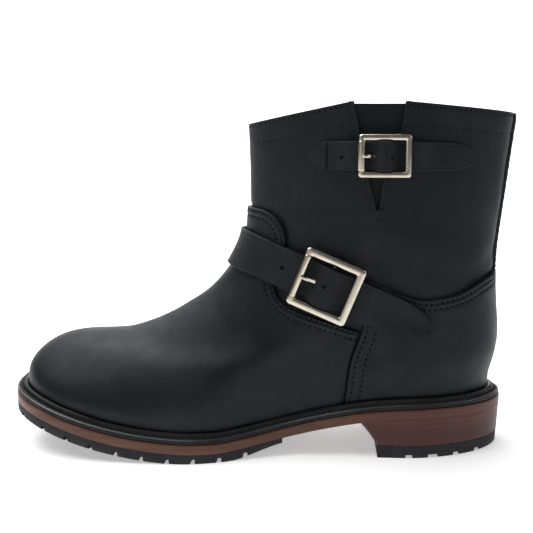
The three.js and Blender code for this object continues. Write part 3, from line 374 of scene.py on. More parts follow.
def sheet_solid(outer, inner, wrap=False):
    """A closed solid between two grids of the same size."""
    rows, cols = outer.shape[:2]
    size = rows * cols
    verts = np.concatenate([outer.reshape(-1, 3), inner.reshape(-1, 3)])
    faces = grid_quads(rows, cols, 0, wrap) + [f[::-1] for f in grid_quads(rows, cols, size, wrap)]
    count = cols if wrap else cols - 1
    for c in range(count):
        d = (c + 1) % cols
        top = (rows - 1) * cols
        faces.append([c, size + c, size + d, d])
        faces.append([top + c, top + d, size + top + d, size + top + c])
    if not wrap:
        for r in range(rows - 1):
            a, b = r * cols, (r + 1) * cols
            faces.append([a, b, size + b, size + a])
            faces.append([a + cols - 1, size + a + cols - 1, size + b + cols - 1, b + cols - 1])
    return verts, faces


def ring_solid(sections):
    """A closed tube whose section runs round: sections[i] is the loop of points at step i."""
    count, size = sections.shape[:2]
    verts = sections.reshape(-1, 3)
    faces = []
    for i in range(count):
        j = (i + 1) % count
        for k in range(size):
            m = (k + 1) % size
            faces.append([i * size + k, j * size + k, j * size + m, i * size + m])
    return verts, faces


def make_mesh(name, verts, faces, materials, pick=None, angle=35.0, merge=0.0):
    """A new object at the origin with its place in its mesh, closed and facing out."""
    mesh = bpy.data.meshes.new(name)
    mesh.from_pydata(to_metres(verts).tolist(), [], faces)
    for material in materials:
        mesh.materials.append(material)
    if pick is not None:
        mesh.polygons.foreach_set("material_index", np.asarray(pick, dtype=np.int32))
    bm = bmesh.new()
    bm.from_mesh(mesh)
    if merge > 0:
        bmesh.ops.remove_doubles(bm, verts=bm.verts, dist=merge * 0.001)
        bmesh.ops.dissolve_degenerate(bm, edges=bm.edges, dist=1e-7)
    bmesh.ops.recalc_face_normals(bm, faces=bm.faces)
    if bm.calc_volume(signed=True) < 0:
        bmesh.ops.reverse_faces(bm, faces=bm.faces)
    bm.to_mesh(mesh)
    bm.free()
    piece = bpy.data.objects.new(name, mesh)
    bpy.context.scene.collection.objects.link(piece)
    soften(piece, angle)
    return piece


def soften(piece, angle):
    """Smooth shading with sharp edges above an angle."""
    mesh = piece.data
    mesh.polygons.foreach_set("use_smooth", np.ones(len(mesh.polygons), dtype=bool))
    mesh.set_sharp_from_angle(angle=math.radians(angle))
    mesh.update()


def settle(piece):
    """Turns a piece with modifiers into the plain mesh that they give."""
    graph = bpy.context.evaluated_depsgraph_get()
    mesh = bpy.data.meshes.new_from_object(piece.evaluated_get(graph))
    piece.modifiers.clear()
    piece.data = mesh
    return piece


def cut_with(piece, cutters, angle=35.0):
    """Takes the cutters' shapes out of a piece and removes them."""
    for cutter in cutters:
        modifier = piece.modifiers.new("cut", "BOOLEAN")
        modifier.operation = "DIFFERENCE"
        modifier.solver = "MANIFOLD"
        modifier.object = cutter
    bpy.context.view_layer.update()
    settle(piece)
    for cutter in cutters:
        mesh = cutter.data
        bpy.data.objects.remove(cutter)
        bpy.data.meshes.remove(mesh)
    soften(piece, angle)
    return piece


def finish_piece(piece, slot, *nodes):
    """A finished piece rides on the one body and hides the solids that it stands for. Its slot is not used."""
    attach(piece, "root")
    if nodes:
        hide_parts(*nodes)
    return piece


def edge_steps(count, spacing):
    """Distances in from a sewn edge: close together where the edge rounds and the seams lie."""
    near = np.array([0, 0.1, 0.28, 0.55, 0.9, 1.4, 1.8, 2.1, 2.4, 2.8, 3.4, 4.0, 4.5, 4.9, 5.3, 5.8, 6.6, 8.0])
    return np.concatenate([near, 8.0 + spacing * np.arange(1, count + 1)])


def rolled(distance, thick, radius=0.9):
    """Height of an overlay's surface near its cut edge, which is rounded over."""
    share = np.clip(distance / radius, 0, 1)
    return thick * (0.28 + 0.72 * np.sqrt(1 - (1 - share) ** 2))


def seam_dip(distance, at, depth=0.42, width=0.75):
    """The shallow groove that a row of stitches pulls into leather."""
    return -depth * np.exp(-(((distance - at) / width) ** 2))


# The shaft: one skin round the form, open along the notch for the gusset.

def notch_turns(t):
    """Turns of the notch's front and back edge on the outer side at each ring."""
    front_line, back_line = side_points(NOTCH_FRONT), side_points(NOTCH_BACK)
    turns = []
    for line in (front_line, back_line):
        z = np.linspace(line[0, 1], line[-1, 1] + 12, 60)
        x = np.interp(z, line[:, 1], line[:, 0])
        over = z > line[-1, 1]
        x[over] = line[-1, 0]
        phi, at = find_on_side(x, z)
        turns.append(np.interp(t, at, -phi))
    return turns


COLLAR_ROWS = (1.9, 12.5)


def shaft_creases(points):
    """The shaft's main folds and its slow unevenness, in millimetres."""
    x, y, z = points[..., 0], points[..., 1], points[..., 2]
    high = smooth(z, 60, 110)
    value = 0.35 * ripple(points, 0.4) * high
    value = value - 0.7 * trough(points, (128, 108), (150, 124), 5.0) * high
    value = value - 0.45 * trough(points, (70, 118), (128, 104), 6.0) * high
    value = value + 0.5 * trough(points, (80, 128), (132, 120), 9.0) * high
    value = value - 0.4 * trough(points, (6, 118), (20, 150), 6.0)
    for line, depth in ((VAMP_LINE, 0.9), (TOP_LINE, 0.7)):
        value = value - depth * np.exp(-((distance_to(line, points) / 2.0) ** 2))
    drop = collar_at(x) - z
    for row, deep in zip(COLLAR_ROWS, (0.28, 0.2)):
        value = value - deep * np.exp(-(((drop - row) / 0.9) ** 2))
    for table in (NOTCH_FRONT, NOTCH_BACK):
        gap = distance_to(side_points(table), points)
        value = value + np.where(y < 0, 0.4 * np.exp(-(((gap - 0.6) / 0.9) ** 2)), 0)
        value = value - np.where(y < 0, 0.3 * np.exp(-(((gap - 2.2) / 0.7) ** 2)), 0)
    return value


def make_shaft(materials):
    columns, rows = 300, 120
    notch_phi, notch_t = find_on_side(along_to_x(NOTCH_TIP[0]), NOTCH_TIP[1] * HEIGHT)
    collar_there = ring_at_height(-notch_phi, collar_at)
    split = float(notch_t / collar_there)
    levels = np.concatenate([np.linspace(0, split, 66), np.linspace(split, 1, 56)[1:]])
    first_open = 65
    u = np.linspace(0, 1, columns + 1)
    outer, inner = [], []
    for r, level in enumerate(levels):
        t_mid = level * collar_there
        front, back = notch_turns(t_mid)
        centre = -notch_phi
        if r <= first_open:
            gap_front = gap_back = centre
        else:
            gap_front, gap_back = front, back
        phi = gap_front + u * (2 * np.pi - (gap_front - gap_back))
        phi = np.where(phi > np.pi, phi - 2 * np.pi, phi)
        t = level * ring_at_height(phi, collar_at)
        base = skin(phi, t, 0.0)
        normal = outward(phi, t)
        rise = shaft_creases(base)
        foot = feather_point(phi, 0.0)
        if level == 0:
            base, rise = foot, np.zeros_like(rise)
        outer.append(base + normal * rise[:, None])
        inner.append(base + normal * (0.6 * rise - WALL)[:, None])
    outer, inner = np.array(outer), np.array(inner)
    count, cols = outer.shape[:2]
    size = count * cols
    verts = np.concatenate([outer.reshape(-1, 3), inner.reshape(-1, 3)])
    out_faces = grid_quads(count, cols)
    in_faces = [f[::-1] for f in grid_quads(count, cols, size)]
    walls = []
    top = (count - 1) * cols
    for c in range(cols - 1):
        walls.append([c, size + c, size + c + 1, c + 1])
        walls.append([top + c, top + c + 1, size + top + c + 1, size + top + c])
    for r in range(first_open, count - 1):
        a, b = r * cols, (r + 1) * cols
        walls.append([a, b, size + b, size + a])
        walls.append([a + cols - 1, size + a + cols - 1, size + b + cols - 1, b + cols - 1])
    faces = out_faces + in_faces + walls
    pick = [0] * len(out_faces) + [1] * len(in_faces) + [0] * len(walls)
    piece = make_mesh("shaft", verts, faces, materials, pick, merge=0.002, angle=40)
    bevel = piece.modifiers.new("edge", "BEVEL")
    bevel.limit_method = "ANGLE"
    bevel.angle_limit = math.radians(50)
    bevel.width = 0.0006
    bevel.segments = 2
    bevel.use_clamp_overlap = True
    settle(piece)
    soften(piece, 40)
    return finish_piece(piece, "shaft_leather", "upper")


def make_gusset(materials):
    """The thinner leather behind the notch, a little slack between its edges."""
    rows, cols = 70, 30
    foot, head = NOTCH_TIP[1] * HEIGHT - 3, HEIGHT - 1.4
    z = np.linspace(foot, head, rows)
    front_line, back_line = side_points(NOTCH_FRONT), side_points(NOTCH_BACK)
    margin = 3.2
    front_x = np.interp(z, front_line[:, 1], front_line[:, 0]) - margin
    back_x = np.interp(z, back_line[:, 1], back_line[:, 0]) + margin
    share = np.linspace(0, 1, cols)
    x = front_x[:, None] + (back_x - front_x)[:, None] * share
    phi, t = find_on_side(x, np.repeat(z[:, None], cols, axis=1))
    middle = np.sin(np.pi * share)[None, :] * smooth(z, foot + 10, head)[:, None]
    sag = -0.7 * middle + 0.25 * np.sin(3 * np.pi * share)[None, :] * smooth(z, foot + 20, head)[:, None]
    outer = skin(-phi, t, -WALL - 0.25 + 0 * sag) + outward(-phi, t) * sag[..., None]
    inner = outer - outward(-phi, t) * 1.3
    verts, faces = sheet_solid(outer, inner)
    piece = make_mesh("gusset", verts, faces, materials, angle=50)
    return finish_piece(piece, "gusset_leather", "gusset")


# The overlays that are sewn on the skin.

def side_curve_in_rings(line):
    """A side view line as turns over rings, for the overlay that it bounds."""
    phi, t = find_on_side(line[:, 0], line[:, 1])
    return phi, t


def vamp_line():
    points = side_points(VAMP_EDGE)
    corner = 4
    seam = curve_through(points[: corner + 1], 60)
    rest = curve_through(points[corner:], 400)
    return np.concatenate([seam, rest[1:]])


def trim_to_ridge(line):
    """Cuts a line where it reaches the ridge of the form."""
    phi, t = side_curve_in_rings(line)
    past = np.nonzero(phi < 0.012)[0]
    last = past[0] if len(past) else len(line) - 1
    return line[: last + 1], phi[: last + 1], t[: last + 1]


VAMP_LINE, VAMP_PHI, VAMP_T = trim_to_ridge(vamp_line())
VAMP_SEWN = VAMP_LINE[62:]
SEAM_LINE = curve_through(side_points(SEAM), 120)
TOP_LINE = curve_through(side_points(COUNTER_TOP), 300)
VAMP_ROWS, SEAM_ROWS, TOP_ROWS = (1.6, 5.0), (3.0, 8.2), (2.4, 5.6)


def vamp_relief(points):
    """The vamp's soft folds over the ball and its slow unevenness."""
    x, y, z = points[..., 0], points[..., 1], points[..., 2]
    value = 0.28 * ripple(points, 2.2) * smooth(z, 34, 50)
    value = value - 0.22 * trough(points, (-58, 62), (-22, 44), 9.0)
    value = value + 0.12 * trough(points, (-72, 56), (-40, 38), 11.0)
    value = value - 0.2 * trough(points, (-24, 84), (-2, 66), 8.0)
    return value


def make_vamp(materials):
    order = np.maximum.accumulate(VAMP_T)
    steps = np.concatenate([[0], np.cumsum(np.hypot(*np.diff(VAMP_LINE, axis=0).T))])
    keep = np.concatenate([[True], np.diff(order) > 1e-6])
    t_of, phi_of, run_of = order[keep], VAMP_PHI[keep], steps[keep]
    dense = np.linspace(0.0, t_of[-1], 4000)
    measure = 13.0 * dense + 0.9 * np.interp(dense, t_of, run_of)
    t_rows = np.interp(np.linspace(measure[0], measure[-1], 190), measure, dense)
    t_rows[-1] = t_of[-1] - 1e-4
    phi_edge = np.interp(t_rows, t_of, phi_of)
    steps_in = edge_steps(0, 1.0)
    inner_count = 96
    run = np.interp(t_rows, t_of, run_of)
    lean = np.abs(np.gradient(run, t_rows))
    grid_phi = []
    for t, edge, slant in zip(t_rows, phi_edge, lean):
        width = np.linalg.norm(form(edge + 0.002, t) - form(edge - 0.002, t)) / 0.004
        height = np.linalg.norm(form(edge, t + 0.01) - form(edge, max(t - 0.01, 0))) / 0.02
        stretch = np.clip(slant / max(height, 1e-3), 1.0, 4.0)
        near = steps_in * stretch / width
        near = near * min(1.0, 0.8 * edge / near[-1])
        side = edge - near
        middle = np.linspace(side[-1], -side[-1], inner_count)[1:-1]
        grid_phi.append(np.concatenate([side, middle, -side[::-1]]))
    phi = -np.array(grid_phi)
    t = np.repeat(t_rows[:, None], phi.shape[1], axis=1)
    base, normal = form(phi, t), outward(phi, t)
    gap = distance_to(VAMP_LINE, base)
    rise = rolled(gap, OVERLAY) + GAP + vamp_relief(base) * smooth(gap, 0, 8)
    sewn = distance_to(VAMP_SEWN, base)
    rise = rise + seam_dip(sewn, VAMP_ROWS[0]) + seam_dip(sewn, VAMP_ROWS[1])
    rise = rise - 1.0 * np.exp(-((distance_to(SEAM_LINE, base) / 2.3) ** 2))
    outer = base + normal * rise[..., None]
    inner = base + normal * (GAP * 0.5)
    foot = t_rows < 0.4
    for r in np.nonzero(foot)[0]:
        flat = feather_point(phi[r], rise[r])
        blend = smooth(t_rows[r], 0, 0.4)
        outer[r] = flat * (1 - blend) + outer[r] * blend if r == 0 else outer[r]
    verts, faces = sheet_solid(outer, inner)
    piece = make_mesh("vamp", verts, faces, materials, angle=50)
    return finish_piece(piece, "vamp_leather", "vamp")


def counter_relief(points):
    x, y, z = points[..., 0], points[..., 1], points[..., 2]
    value = 0.22 * ripple(points, 4.1) * smooth(z, 40, 60)
    value = value - 0.35 * trough(points, (70, 60), (96, 88), 7.0)
    return value


def make_counter(materials):
    seam_phi, seam_t = side_curve_in_rings(SEAM_LINE)
    order = np.maximum.accumulate(seam_t)
    top_at = line_curve(COUNTER_TOP)

    def seam_turn(t):
        return np.interp(t, order, seam_phi)

    across = edge_steps(0, 1.0) / 100.0
    shares = np.concatenate([across, np.linspace(across[-1], 1, 78)[1:]])
    top_t = np.full(shares.shape, 8.0)
    for _ in range(40):
        phi = seam_turn(top_t) + (np.pi - seam_turn(top_t)) * shares
        top_t = ring_at_height(phi, top_at)
    lengths = 95.0
    down = edge_steps(0, 1.0) / lengths
    levels = np.concatenate([np.linspace(0, 1 - down[-1], 70)[:-1], (1 - down)[::-1]])
    t_half = levels[:, None] * top_t[None, :]
    phi_half = seam_turn(t_half) + (np.pi - seam_turn(t_half)) * shares[None, :]
    phi = np.concatenate([-phi_half, phi_half[:, ::-1][:, 1:]], axis=1)
    t = np.concatenate([t_half, t_half[:, ::-1][:, 1:]], axis=1)
    base, normal = form(phi, t), outward(phi, t)
    gap_side = distance_to(SEAM_LINE, base)
    gap_top = distance_to(TOP_LINE, base)
    gap = np.minimum(gap_side, gap_top)
    rise = rolled(gap, OVERLAY) + GAP + counter_relief(base) * smooth(gap, 0, 8)
    for row in SEAM_ROWS:
        rise = rise + seam_dip(gap_side, row) * smooth(gap_top, 1, 3)
    for row in TOP_ROWS:
        rise = rise + seam_dip(gap_top, row) * smooth(gap_side, 1, 3)
    outer = base + normal * rise[..., None]
    inner = base + normal * (GAP * 0.5)
    verts, faces = sheet_solid(outer, inner)
    piece = make_mesh("counter", verts, faces, materials, angle=50)
    return finish_piece(piece, "vamp_leather", "counter")


def make_piping(materials):
    """The half round piping up the back seam."""
    rows = 160
    foot = PIPING_FOOT * HEIGHT - 3.4
    low = float(ring_at_height(np.array(np.pi), lambda x: foot + 0 * x))
    high = float(ring_at_height(np.array(np.pi), collar_at))
    angles = np.linspace(0, np.pi, 15)
    t = np.linspace(low, high, rows)
    wave = 1 + 0.03 * np.sin(t * 23.0) + 0.02 * np.sin(t * 41.0 + 1)
    across = -0.5 * np.cos(angles)[None, :] * wave[:, None] * PIPING_WIDTH
    up = np.sin(angles)[None, :] ** 0.8 * PIPING_HEIGHT * wave[:, None]
    round_end = np.clip(np.minimum(t - low, high - t) / (high - low) * rows / 3.0, 0, 1) ** 0.5
    up = up * (0.55 + 0.45 * round_end[:, None])
    base = form(np.pi, t)[:, None, :] + outward(np.pi, t)[:, None, :] * (0.4 + up)[..., None]
    outer = base + np.stack([0 * across, across, 0 * across], axis=-1)
    inner = outer - outward(np.pi, t)[:, None, :] * (up + 0.1)[..., None]
    verts, faces = sheet_solid(outer, inner)
    piece = make_mesh("back_piping", verts, faces, materials, angle=50)
    return finish_piece(piece, "shaft_leather", "back_piping")


# Straps and buckles.

def buckle_frame(spec):
    """A buckle's own frame: its middle on the form, along the strap to the heel, across, out."""
    phi, t = find_on_side(along_to_x(spec["along"]), spec["up"] * HEIGHT)
    out = outward(-phi, t)
    tilt = math.radians(spec["tilt"])
    run = np.array([math.cos(tilt), 0, -math.sin(tilt)])
    along = unit(run - out * (run @ out))
    across = unit(np.cross(out, along))
    return {"origin": form(-phi, t), "along": along, "across": across, "out": out}


FRAMES = {name: buckle_frame(spec) for name, spec in BUCKLES.items()}


def in_frame(points, place):
    points = np.asarray(points, float)
    return (
        place["origin"]
        + points[..., 0:1] * place["along"]
        + points[..., 1:2] * place["across"]
        + points[..., 2:3] * place["out"]
    )


def strap_points(line, stations, width, taper, name, lift, across, extra):
    """Points of a strap laid over the form, held by its buckle."""
    spec, place = BUCKLES[name], FRAMES[name]
    bulge = spec["long"] / 2 - spec["bar"] - 0.5
    tilt = math.radians(spec["tilt"])
    phi = stations[:, None]
    medial = phi > 0
    middle_ring = ring_at_height(stations, line)
    middle = form(stations, middle_ring)
    half = width / 2 * taper(middle[:, 0], stations > 0)
    k = across[None, :]
    lean = STRAP_LEAN * math.sin(tilt) * k * smooth(np.abs(phi), 0.15, 0.9)
    turn = phi + np.where(medial, -lean, lean) * (half[:, None] / (width / 2))
    height = line(middle[:, 0])[:, None] + k * half[:, None] * math.cos(tilt)
    t = ring_at_height(turn, lambda x: height)
    base, normal = form(turn, t), outward(turn, t)
    laid = base + normal * (lift + extra)[..., None]
    local = base - place["origin"]
    a = local @ place["along"]
    rise = np.where(np.abs(a) < bulge, STRAP_RISE * 0.5 * (1 + np.cos(np.pi * a / bulge)), 0)
    planar = base + place["out"] * (STRAP_LIFT + rise + extra - local @ place["out"])[..., None]
    share = np.where(medial, 0, 1 - smooth(np.abs(a), spec["long"] / 2, spec["long"] / 2 + 14))
    return laid * (1 - share[..., None]) + planar * share[..., None], half, base


def make_strap(label, line, stations, width, taper, name, lift, materials, holes):
    """The strap's body with rounded edges, a pressed line along them and punched holes."""
    half_width = width / 2
    inset = np.array([0, 0.12, 0.35, 0.7, 1.1, 1.6, 2.1, 2.6, 3.4]) / half_width
    across = np.concatenate([-1 + inset, np.linspace(-1 + inset[-1], 1 - inset[-1], 15)[1:-1], (1 - inset)[::-1]])
    zero = np.zeros((len(stations), len(across)))
    _, half, base = strap_points(line, stations, width, taper, name, lift, across, zero)
    edge = (1 - np.abs(across))[None, :] * half[:, None]
    top = STRAP_THICK * (0.4 + 0.6 * np.sqrt(1 - (1 - np.clip(edge / 0.8, 0, 1)) ** 2))
    top = top - 0.16 * np.exp(-(((edge - 2.0) / 0.4) ** 2)) + 0.1 * ripple(base, 3.3)
    if name == "shaft":
        x = base[..., 0]
        full = smooth(x, ANCHOR_END + 0.9, ANCHOR_END + 2.1)
        fold = np.exp(-(((x - ANCHOR_END) / 0.75) ** 2))
        top = top * (0.45 + 0.55 * full) + 1.0 * fold * smooth(edge, 0, 1.0)
    low = STRAP_THICK * 0.25 * (1 - np.sqrt(1 - (1 - np.clip(edge / 0.6, 0, 1)) ** 2))
    low = np.minimum(low, 0.6 * top)
    lifted = np.zeros_like(top)
    if name == "instep":
        behind = smooth(base[..., 0], 50, 78) * (stations < 0)[:, None]
        lifted = behind * (0.5 + 1.5 * smooth(-across, -0.2, 1)[None, :])
    outer, _, _ = strap_points(line, stations, width, taper, name, lift, across, top + lifted)
    inner, _, _ = strap_points(line, stations, width, taper, name, lift, across, low + lifted)
    verts, faces = sheet_solid(outer, inner)
    piece = make_mesh(label, verts, faces, materials, angle=50)
    cutters = []
    for x, z, radius in holes:
        phi, t = find_on_side(x, z)
        middle, out = form(-phi, t), outward(-phi, t)
        side = unit(np.cross(out, [0, 0, 1.0]))
        up = np.cross(side, out)
        turns = np.linspace(0, 2 * np.pi, 15)[:-1]
        loop = side * np.cos(turns)[:, None] * radius + up * np.sin(turns)[:, None] * radius
        height = (inner - middle) @ out
        away = np.linalg.norm(inner - middle - height[..., None] * out, axis=-1)
        back = height.flat[np.argmin(away)] + 0.5
        sections = np.stack([middle + out * d + loop for d in (back, 22.0)])
        rim = np.concatenate([sections[0], sections[1]])
        quads = grid_quads(2, 14, wrap=True) + [list(range(14)), list(range(14, 28))]
        cutters.append(make_mesh("punch", rim, quads, []))
    if cutters:
        cut_with(piece, cutters, 50)
    return finish_piece(piece, "strap_leather", {"instep": "instep_strap", "shaft": "shaft_strap"}[name])


def strap_end(tip, reach):
    """Half width near a rounded tail."""
    def at(x, medial):
        d = (tip - x) / reach
        shape = np.sqrt(np.maximum(1 - (1 - np.clip(d, 0, 1)) ** 2.2, 0.002))
        return np.where(medial | (d > 1), 1.0, shape)
    return at


def instep_stations():
    line = line_curve(INSTEP_LINE)
    tip = float(along_to_x(INSTEP_TIP))
    front = float(along_to_x(0.43))
    tail = tip - 0.15 - 24 * np.linspace(0, 1, 40) ** 1.7
    near = np.linspace(tail[-1], front, 120)[1:]
    x = np.concatenate([tail, near])
    phi, _ = find_on_side(x, line(x))
    end, _ = find_on_side(along_to_x(INSTEP_END), line(along_to_x(INSTEP_END)))
    over = np.linspace(-phi[-1], float(end), 130)[1:]
    return line, tip, np.concatenate([-phi, over])


def shaft_stations():
    line = line_curve(SHAFT_LINE)
    tip, start = float(along_to_x(SHAFT_TIP)), float(along_to_x(SHAFT_START))
    tail = tip - 0.15 - 20 * np.linspace(0, 1, 34) ** 1.7
    near = np.linspace(tail[-1], start + 11, 110)[1:]
    point = start + 0.3 + 10.7 * np.linspace(1, 0, 26)[1:] ** 1.1
    x = np.concatenate([tail, near, point])
    phi, _ = find_on_side(x, line(x))
    return line, tip, start, -phi


def make_straps(materials):
    line, tip, stations = instep_stations()
    make_strap(
        "instep_strap", line, stations, INSTEP_WIDTH, strap_end(tip, 24.0), "instep",
        GAP + OVERLAY + 1, materials, INSTEP_HOLES,
    )
    line, tip, start, stations = shaft_stations()
    tail = strap_end(tip, 20.0)

    def taper(x, medial):
        return np.minimum(tail(x, medial), np.clip((x - start) / 9.5, 0.02, 1))

    make_strap("shaft_strap", line, stations, SHAFT_WIDTH, taper, "shaft", 0.6, materials, SHAFT_HOLES)


ANCHOR_END = 40.6
INSTEP_HOLES = ((18.5, 111.2, 1.3), (41.7, 102.3, 1.3))
SHAFT_HOLES = ((49.8, 175.0, 1.15), (76.5, 175.1, 1.15))


def rounded_loop(half_long, half_wide, radius, steps=6):
    """A rectangle's outline with round corners."""
    points = []
    for cx, cy, start in ((1, 1, 0), (-1, 1, 90), (-1, -1, 180), (1, -1, 270)):
        for i in range(steps + 1):
            angle = math.radians(start + 90 * i / steps)
            points.append((
                cx * (half_long - radius) + radius * math.cos(angle),
                cy * (half_wide - radius) + radius * math.sin(angle),
            ))
    return np.array(points)


def make_buckle(name, materials):
    """The frame with softly rounded bars, the pin, the middle bar darkened as painted shade, the roller and the prong.
    """
    spec, place = BUCKLES[name], FRAMES[name]
    a, w, bar = spec["long"] / 2, spec["wide"] / 2, spec["bar"]
    outer = rounded_loop(a, w, 0.5 * bar, 6)
    inner = rounded_loop(a - bar, w - bar, 0.16 * bar, 6)
    section = rounded_loop(0.5, 0.5, 0.36, 4)
    loops = []
    for out_point, in_point in zip(outer, inner):
        mid, span = (out_point + in_point) / 2, out_point - in_point
        ring_points = []
        for across, up in section:
            place_on = mid + span * across
            ring_points.append((place_on[0], place_on[1], BUCKLE_LIFT + up * BUCKLE_THICK))
        loops.append(ring_points)
    verts, faces = ring_solid(in_frame(np.array(loops), place))
    piece = make_mesh(f"{name}_buckle_frame", verts, faces, materials[:1], angle=32)
    # The toe end is open between its two arms, where the roller turns on its pin.
    reach = w - bar + 0.1
    cut = np.array([
        (x, y, BUCKLE_LIFT + z)
        for x in (-a - 2, -a + bar + 0.0) for y in (-reach, reach) for z in (-3, 3)
    ])
    box_faces = [[0, 1, 3, 2], [4, 6, 7, 5], [0, 4, 5, 1], [2, 3, 7, 6], [0, 2, 6, 4], [1, 5, 7, 3]]
    cutter = make_mesh("cutter", in_frame(cut, place), box_faces, [])
    cut_with(piece, [cutter], 32)
    bevel = piece.modifiers.new("edge", "BEVEL")
    bevel.limit_method = "ANGLE"
    bevel.angle_limit = math.radians(60)
    bevel.width = 0.00035
    bevel.segments = 2
    settle(piece)
    soften(piece, 32)
    bars = [
        (spec["bar"] / 2 - a, BUCKLE_LIFT, PIN_RADIUS, w - bar + 1.2),
        (0.0, CENTRE_BAR_LIFT - 0.25, 0.8 * CENTRE_BAR_RADIUS, w - bar * 0.6),
    ]
    parts = [piece]
    # The pin bar takes the nickel; the middle bar takes the second finish, dark nickel as painted shade from the strap
    # over it.
    for (at, lift, radius, half), finish in zip(bars, materials):
        turns = np.linspace(0, 2 * np.pi, 17)[:-1]
        rings = np.array([
            [(at + radius * math.cos(v), y, lift + radius * math.sin(v)) for v in turns]
            for y in np.linspace(-half, half, 9)
        ])
        quads = grid_quads(9, 16, wrap=True) + [list(range(16)), list(range(128, 144))]
        parts.append(make_mesh("bar", in_frame(rings.reshape(-1, 3), place), quads, [finish], angle=40))
    with bpy.context.temp_override(active_object=piece, object=piece, selected_editable_objects=parts):
        bpy.ops.object.join()
    finish_piece(piece, "buckle_metal", f"{name}_buckle_frame")
    half = w - bar - 0.25
    turns = np.linspace(0, 2 * np.pi, 29)[:-1]
    y = np.array([-half, -half, -half + 0.25, -half + 0.7, 0, half - 0.7, half - 0.25, half, half])
    r = np.array([ROLLER_BORE, ROLLER_RADIUS - 0.3, ROLLER_RADIUS - 0.05, ROLLER_RADIUS, ROLLER_RADIUS,
                  ROLLER_RADIUS, ROLLER_RADIUS - 0.05, ROLLER_RADIUS - 0.3, ROLLER_BORE])
    shell = np.array([
        [(spec["bar"] / 2 - a + rr * math.cos(v), yy, BUCKLE_LIFT + rr * math.sin(v)) for v in turns]
        for yy, rr in zip(y, r)
    ])
    verts, faces = ring_solid(in_frame(shell, place).transpose(1, 0, 2))
    roller = make_mesh(f"{name}_buckle_roller", verts, faces, materials[:1], angle=40)
    finish_piece(roller, "buckle_metal", f"{name}_buckle_roller")
    make_prong(name, materials[:1])


def prong_path(spec):
    reach = spec["long"] / 2 - spec["bar"] / 2
    top = BUCKLE_LIFT + ROLLER_RADIUS + GAP + 0.85
    rows = ((-0.05, 6.0), (-0.32, 6.3), (-0.57, 8.0), (-0.76, top - 0.4), (-0.90, top), (-1.02, top - 0.15))
    return np.array([(share * reach, height) for share, height in rows])


def make_prong(name, materials):
    spec, place = BUCKLES[name], FRAMES[name]
    path = curve_through(prong_path(spec), 40)
    run = unit(np.gradient(path, axis=0))
    side = np.stack([-run[:, 1], run[:, 0]], axis=-1)
    share = np.linspace(0, 1, 40)
    wide = PRONG_WIDTH / 2 * (1 - 0.35 * smooth(share, 0.55, 1)) * np.sqrt(np.clip((1 - share) / 0.05, 0.05, 1))
    thick = 0.85 * (1 - 0.25 * smooth(share, 0.6, 1)) * np.sqrt(np.clip((1 - share) / 0.04, 0.1, 1))
    turns = np.linspace(0, 2 * np.pi, 17)[:-1]
    rings = []
    for point, normal, half, deep in zip(path, side, wide, thick):
        loop = []
        for v in turns:
            c, s = math.cos(v), math.sin(v)
            out = np.sign(s) * abs(s) ** 0.8 * deep
            loop.append((point[0] + normal[0] * out, np.sign(c) * abs(c) ** 0.7 * half, point[1] + normal[1] * out))
        rings.append(loop)
    verts = in_frame(np.array(rings).reshape(-1, 3), place)
    quads = grid_quads(40, 16, wrap=True) + [list(range(16)), list(range(39 * 16, 40 * 16))]
    piece = make_mesh(f"{name}_buckle_prong", verts, quads, materials, angle=50)
    return finish_piece(piece, "buckle_metal", f"{name}_buckle_prong")


# The welt and the sole.

# Share of the way from the bead to the edge, and height: a flat, the sewn groove and a thin ridge.
WELT_ROWS = (
    (0.90, 0.03), (0.80, -0.02), (0.72, -0.12), (0.64, -0.36), (0.56, -0.42), (0.48, -0.34), (0.42, -0.06),
    (0.36, 0.14), (0.31, 0.17), (0.26, 0.12), (0.19, -0.18), (0.10, -0.34),
)


def make_welt(materials):
    """The strip round the boot: bead, groove, flat and rounded edge."""
    count = 420
    phi = 2 * np.pi * (np.arange(count) + 0.5) / count - np.pi
    inside = GAP + OVERLAY + GAP - 0.15
    foot = feather_point(phi, inside + 0 * phi)
    head = skin(phi, 0.65, inside + 0 * phi)
    normal = feather_normal(phi)
    edge_at = edge_width(phi)

    def level(point, height):
        return np.stack([point[..., 0], point[..., 1], bed(point[..., 0]) + height], axis=-1)

    tuck = feather_point(phi, -WALL + 0 * phi)
    rows = [level(tuck, -WELT_THICK)]
    rim = ((-0.5, -WELT_THICK), (0.0, -WELT_THICK + 0.35), (0.12, -1.6), (0.0, -0.75), (-0.35, -0.2), (-0.9, 0.0))
    for out, height in rim:
        rows.append(level(feather_point(phi, edge_at + out), height))
    flat_from = np.linalg.norm((foot - feather_point(phi, 0 * phi))[:, :2], axis=1) + BEAD_WIDTH + 0.4
    for share, dip in WELT_ROWS:
        at = flat_from + (edge_at - 0.9 - flat_from) * share
        rows.append(level(feather_point(phi, at), dip))
    rows.append(level(foot + normal * (BEAD_WIDTH + 0.55), -0.25))
    bead = ((BEAD_WIDTH + 0.3, 0.2), (BEAD_WIDTH + 0.35, 0.8), (BEAD_WIDTH + 0.25, 1.5), (BEAD_WIDTH - 0.15, 2.2))
    for out, height in bead:
        rows.append(level(foot + normal * out, height))
    for out, height in ((2.35, 2.75), (1.75, 2.95), (1.1, 2.85), (0.5, 2.45)):
        rows.append(level(head + normal * out, height))
    rows.append(head)
    rows.append(level(foot, 0.0))
    rows.append(level(tuck, 0.0))
    sections = np.stack(rows, axis=1)
    verts, faces = ring_solid(sections)
    # The tops of the outer edge and of the bead take the second finish: real polish, and a lighter colour as painted
    # highlight.
    polished = np.isin(np.arange(len(rows)), (4, 5, 9 + len(WELT_ROWS) + 4, 9 + len(WELT_ROWS) + 5))
    pick = np.tile(polished, count)
    piece = make_mesh("welt", verts, faces, materials, pick, angle=60)
    return finish_piece(piece, "welt_leather", "welt")


def half_turns(count):
    """Turns from the toe to the heel on one side, at even steps."""
    share = (np.arange(count) + 0.5) / count
    return np.pi * share


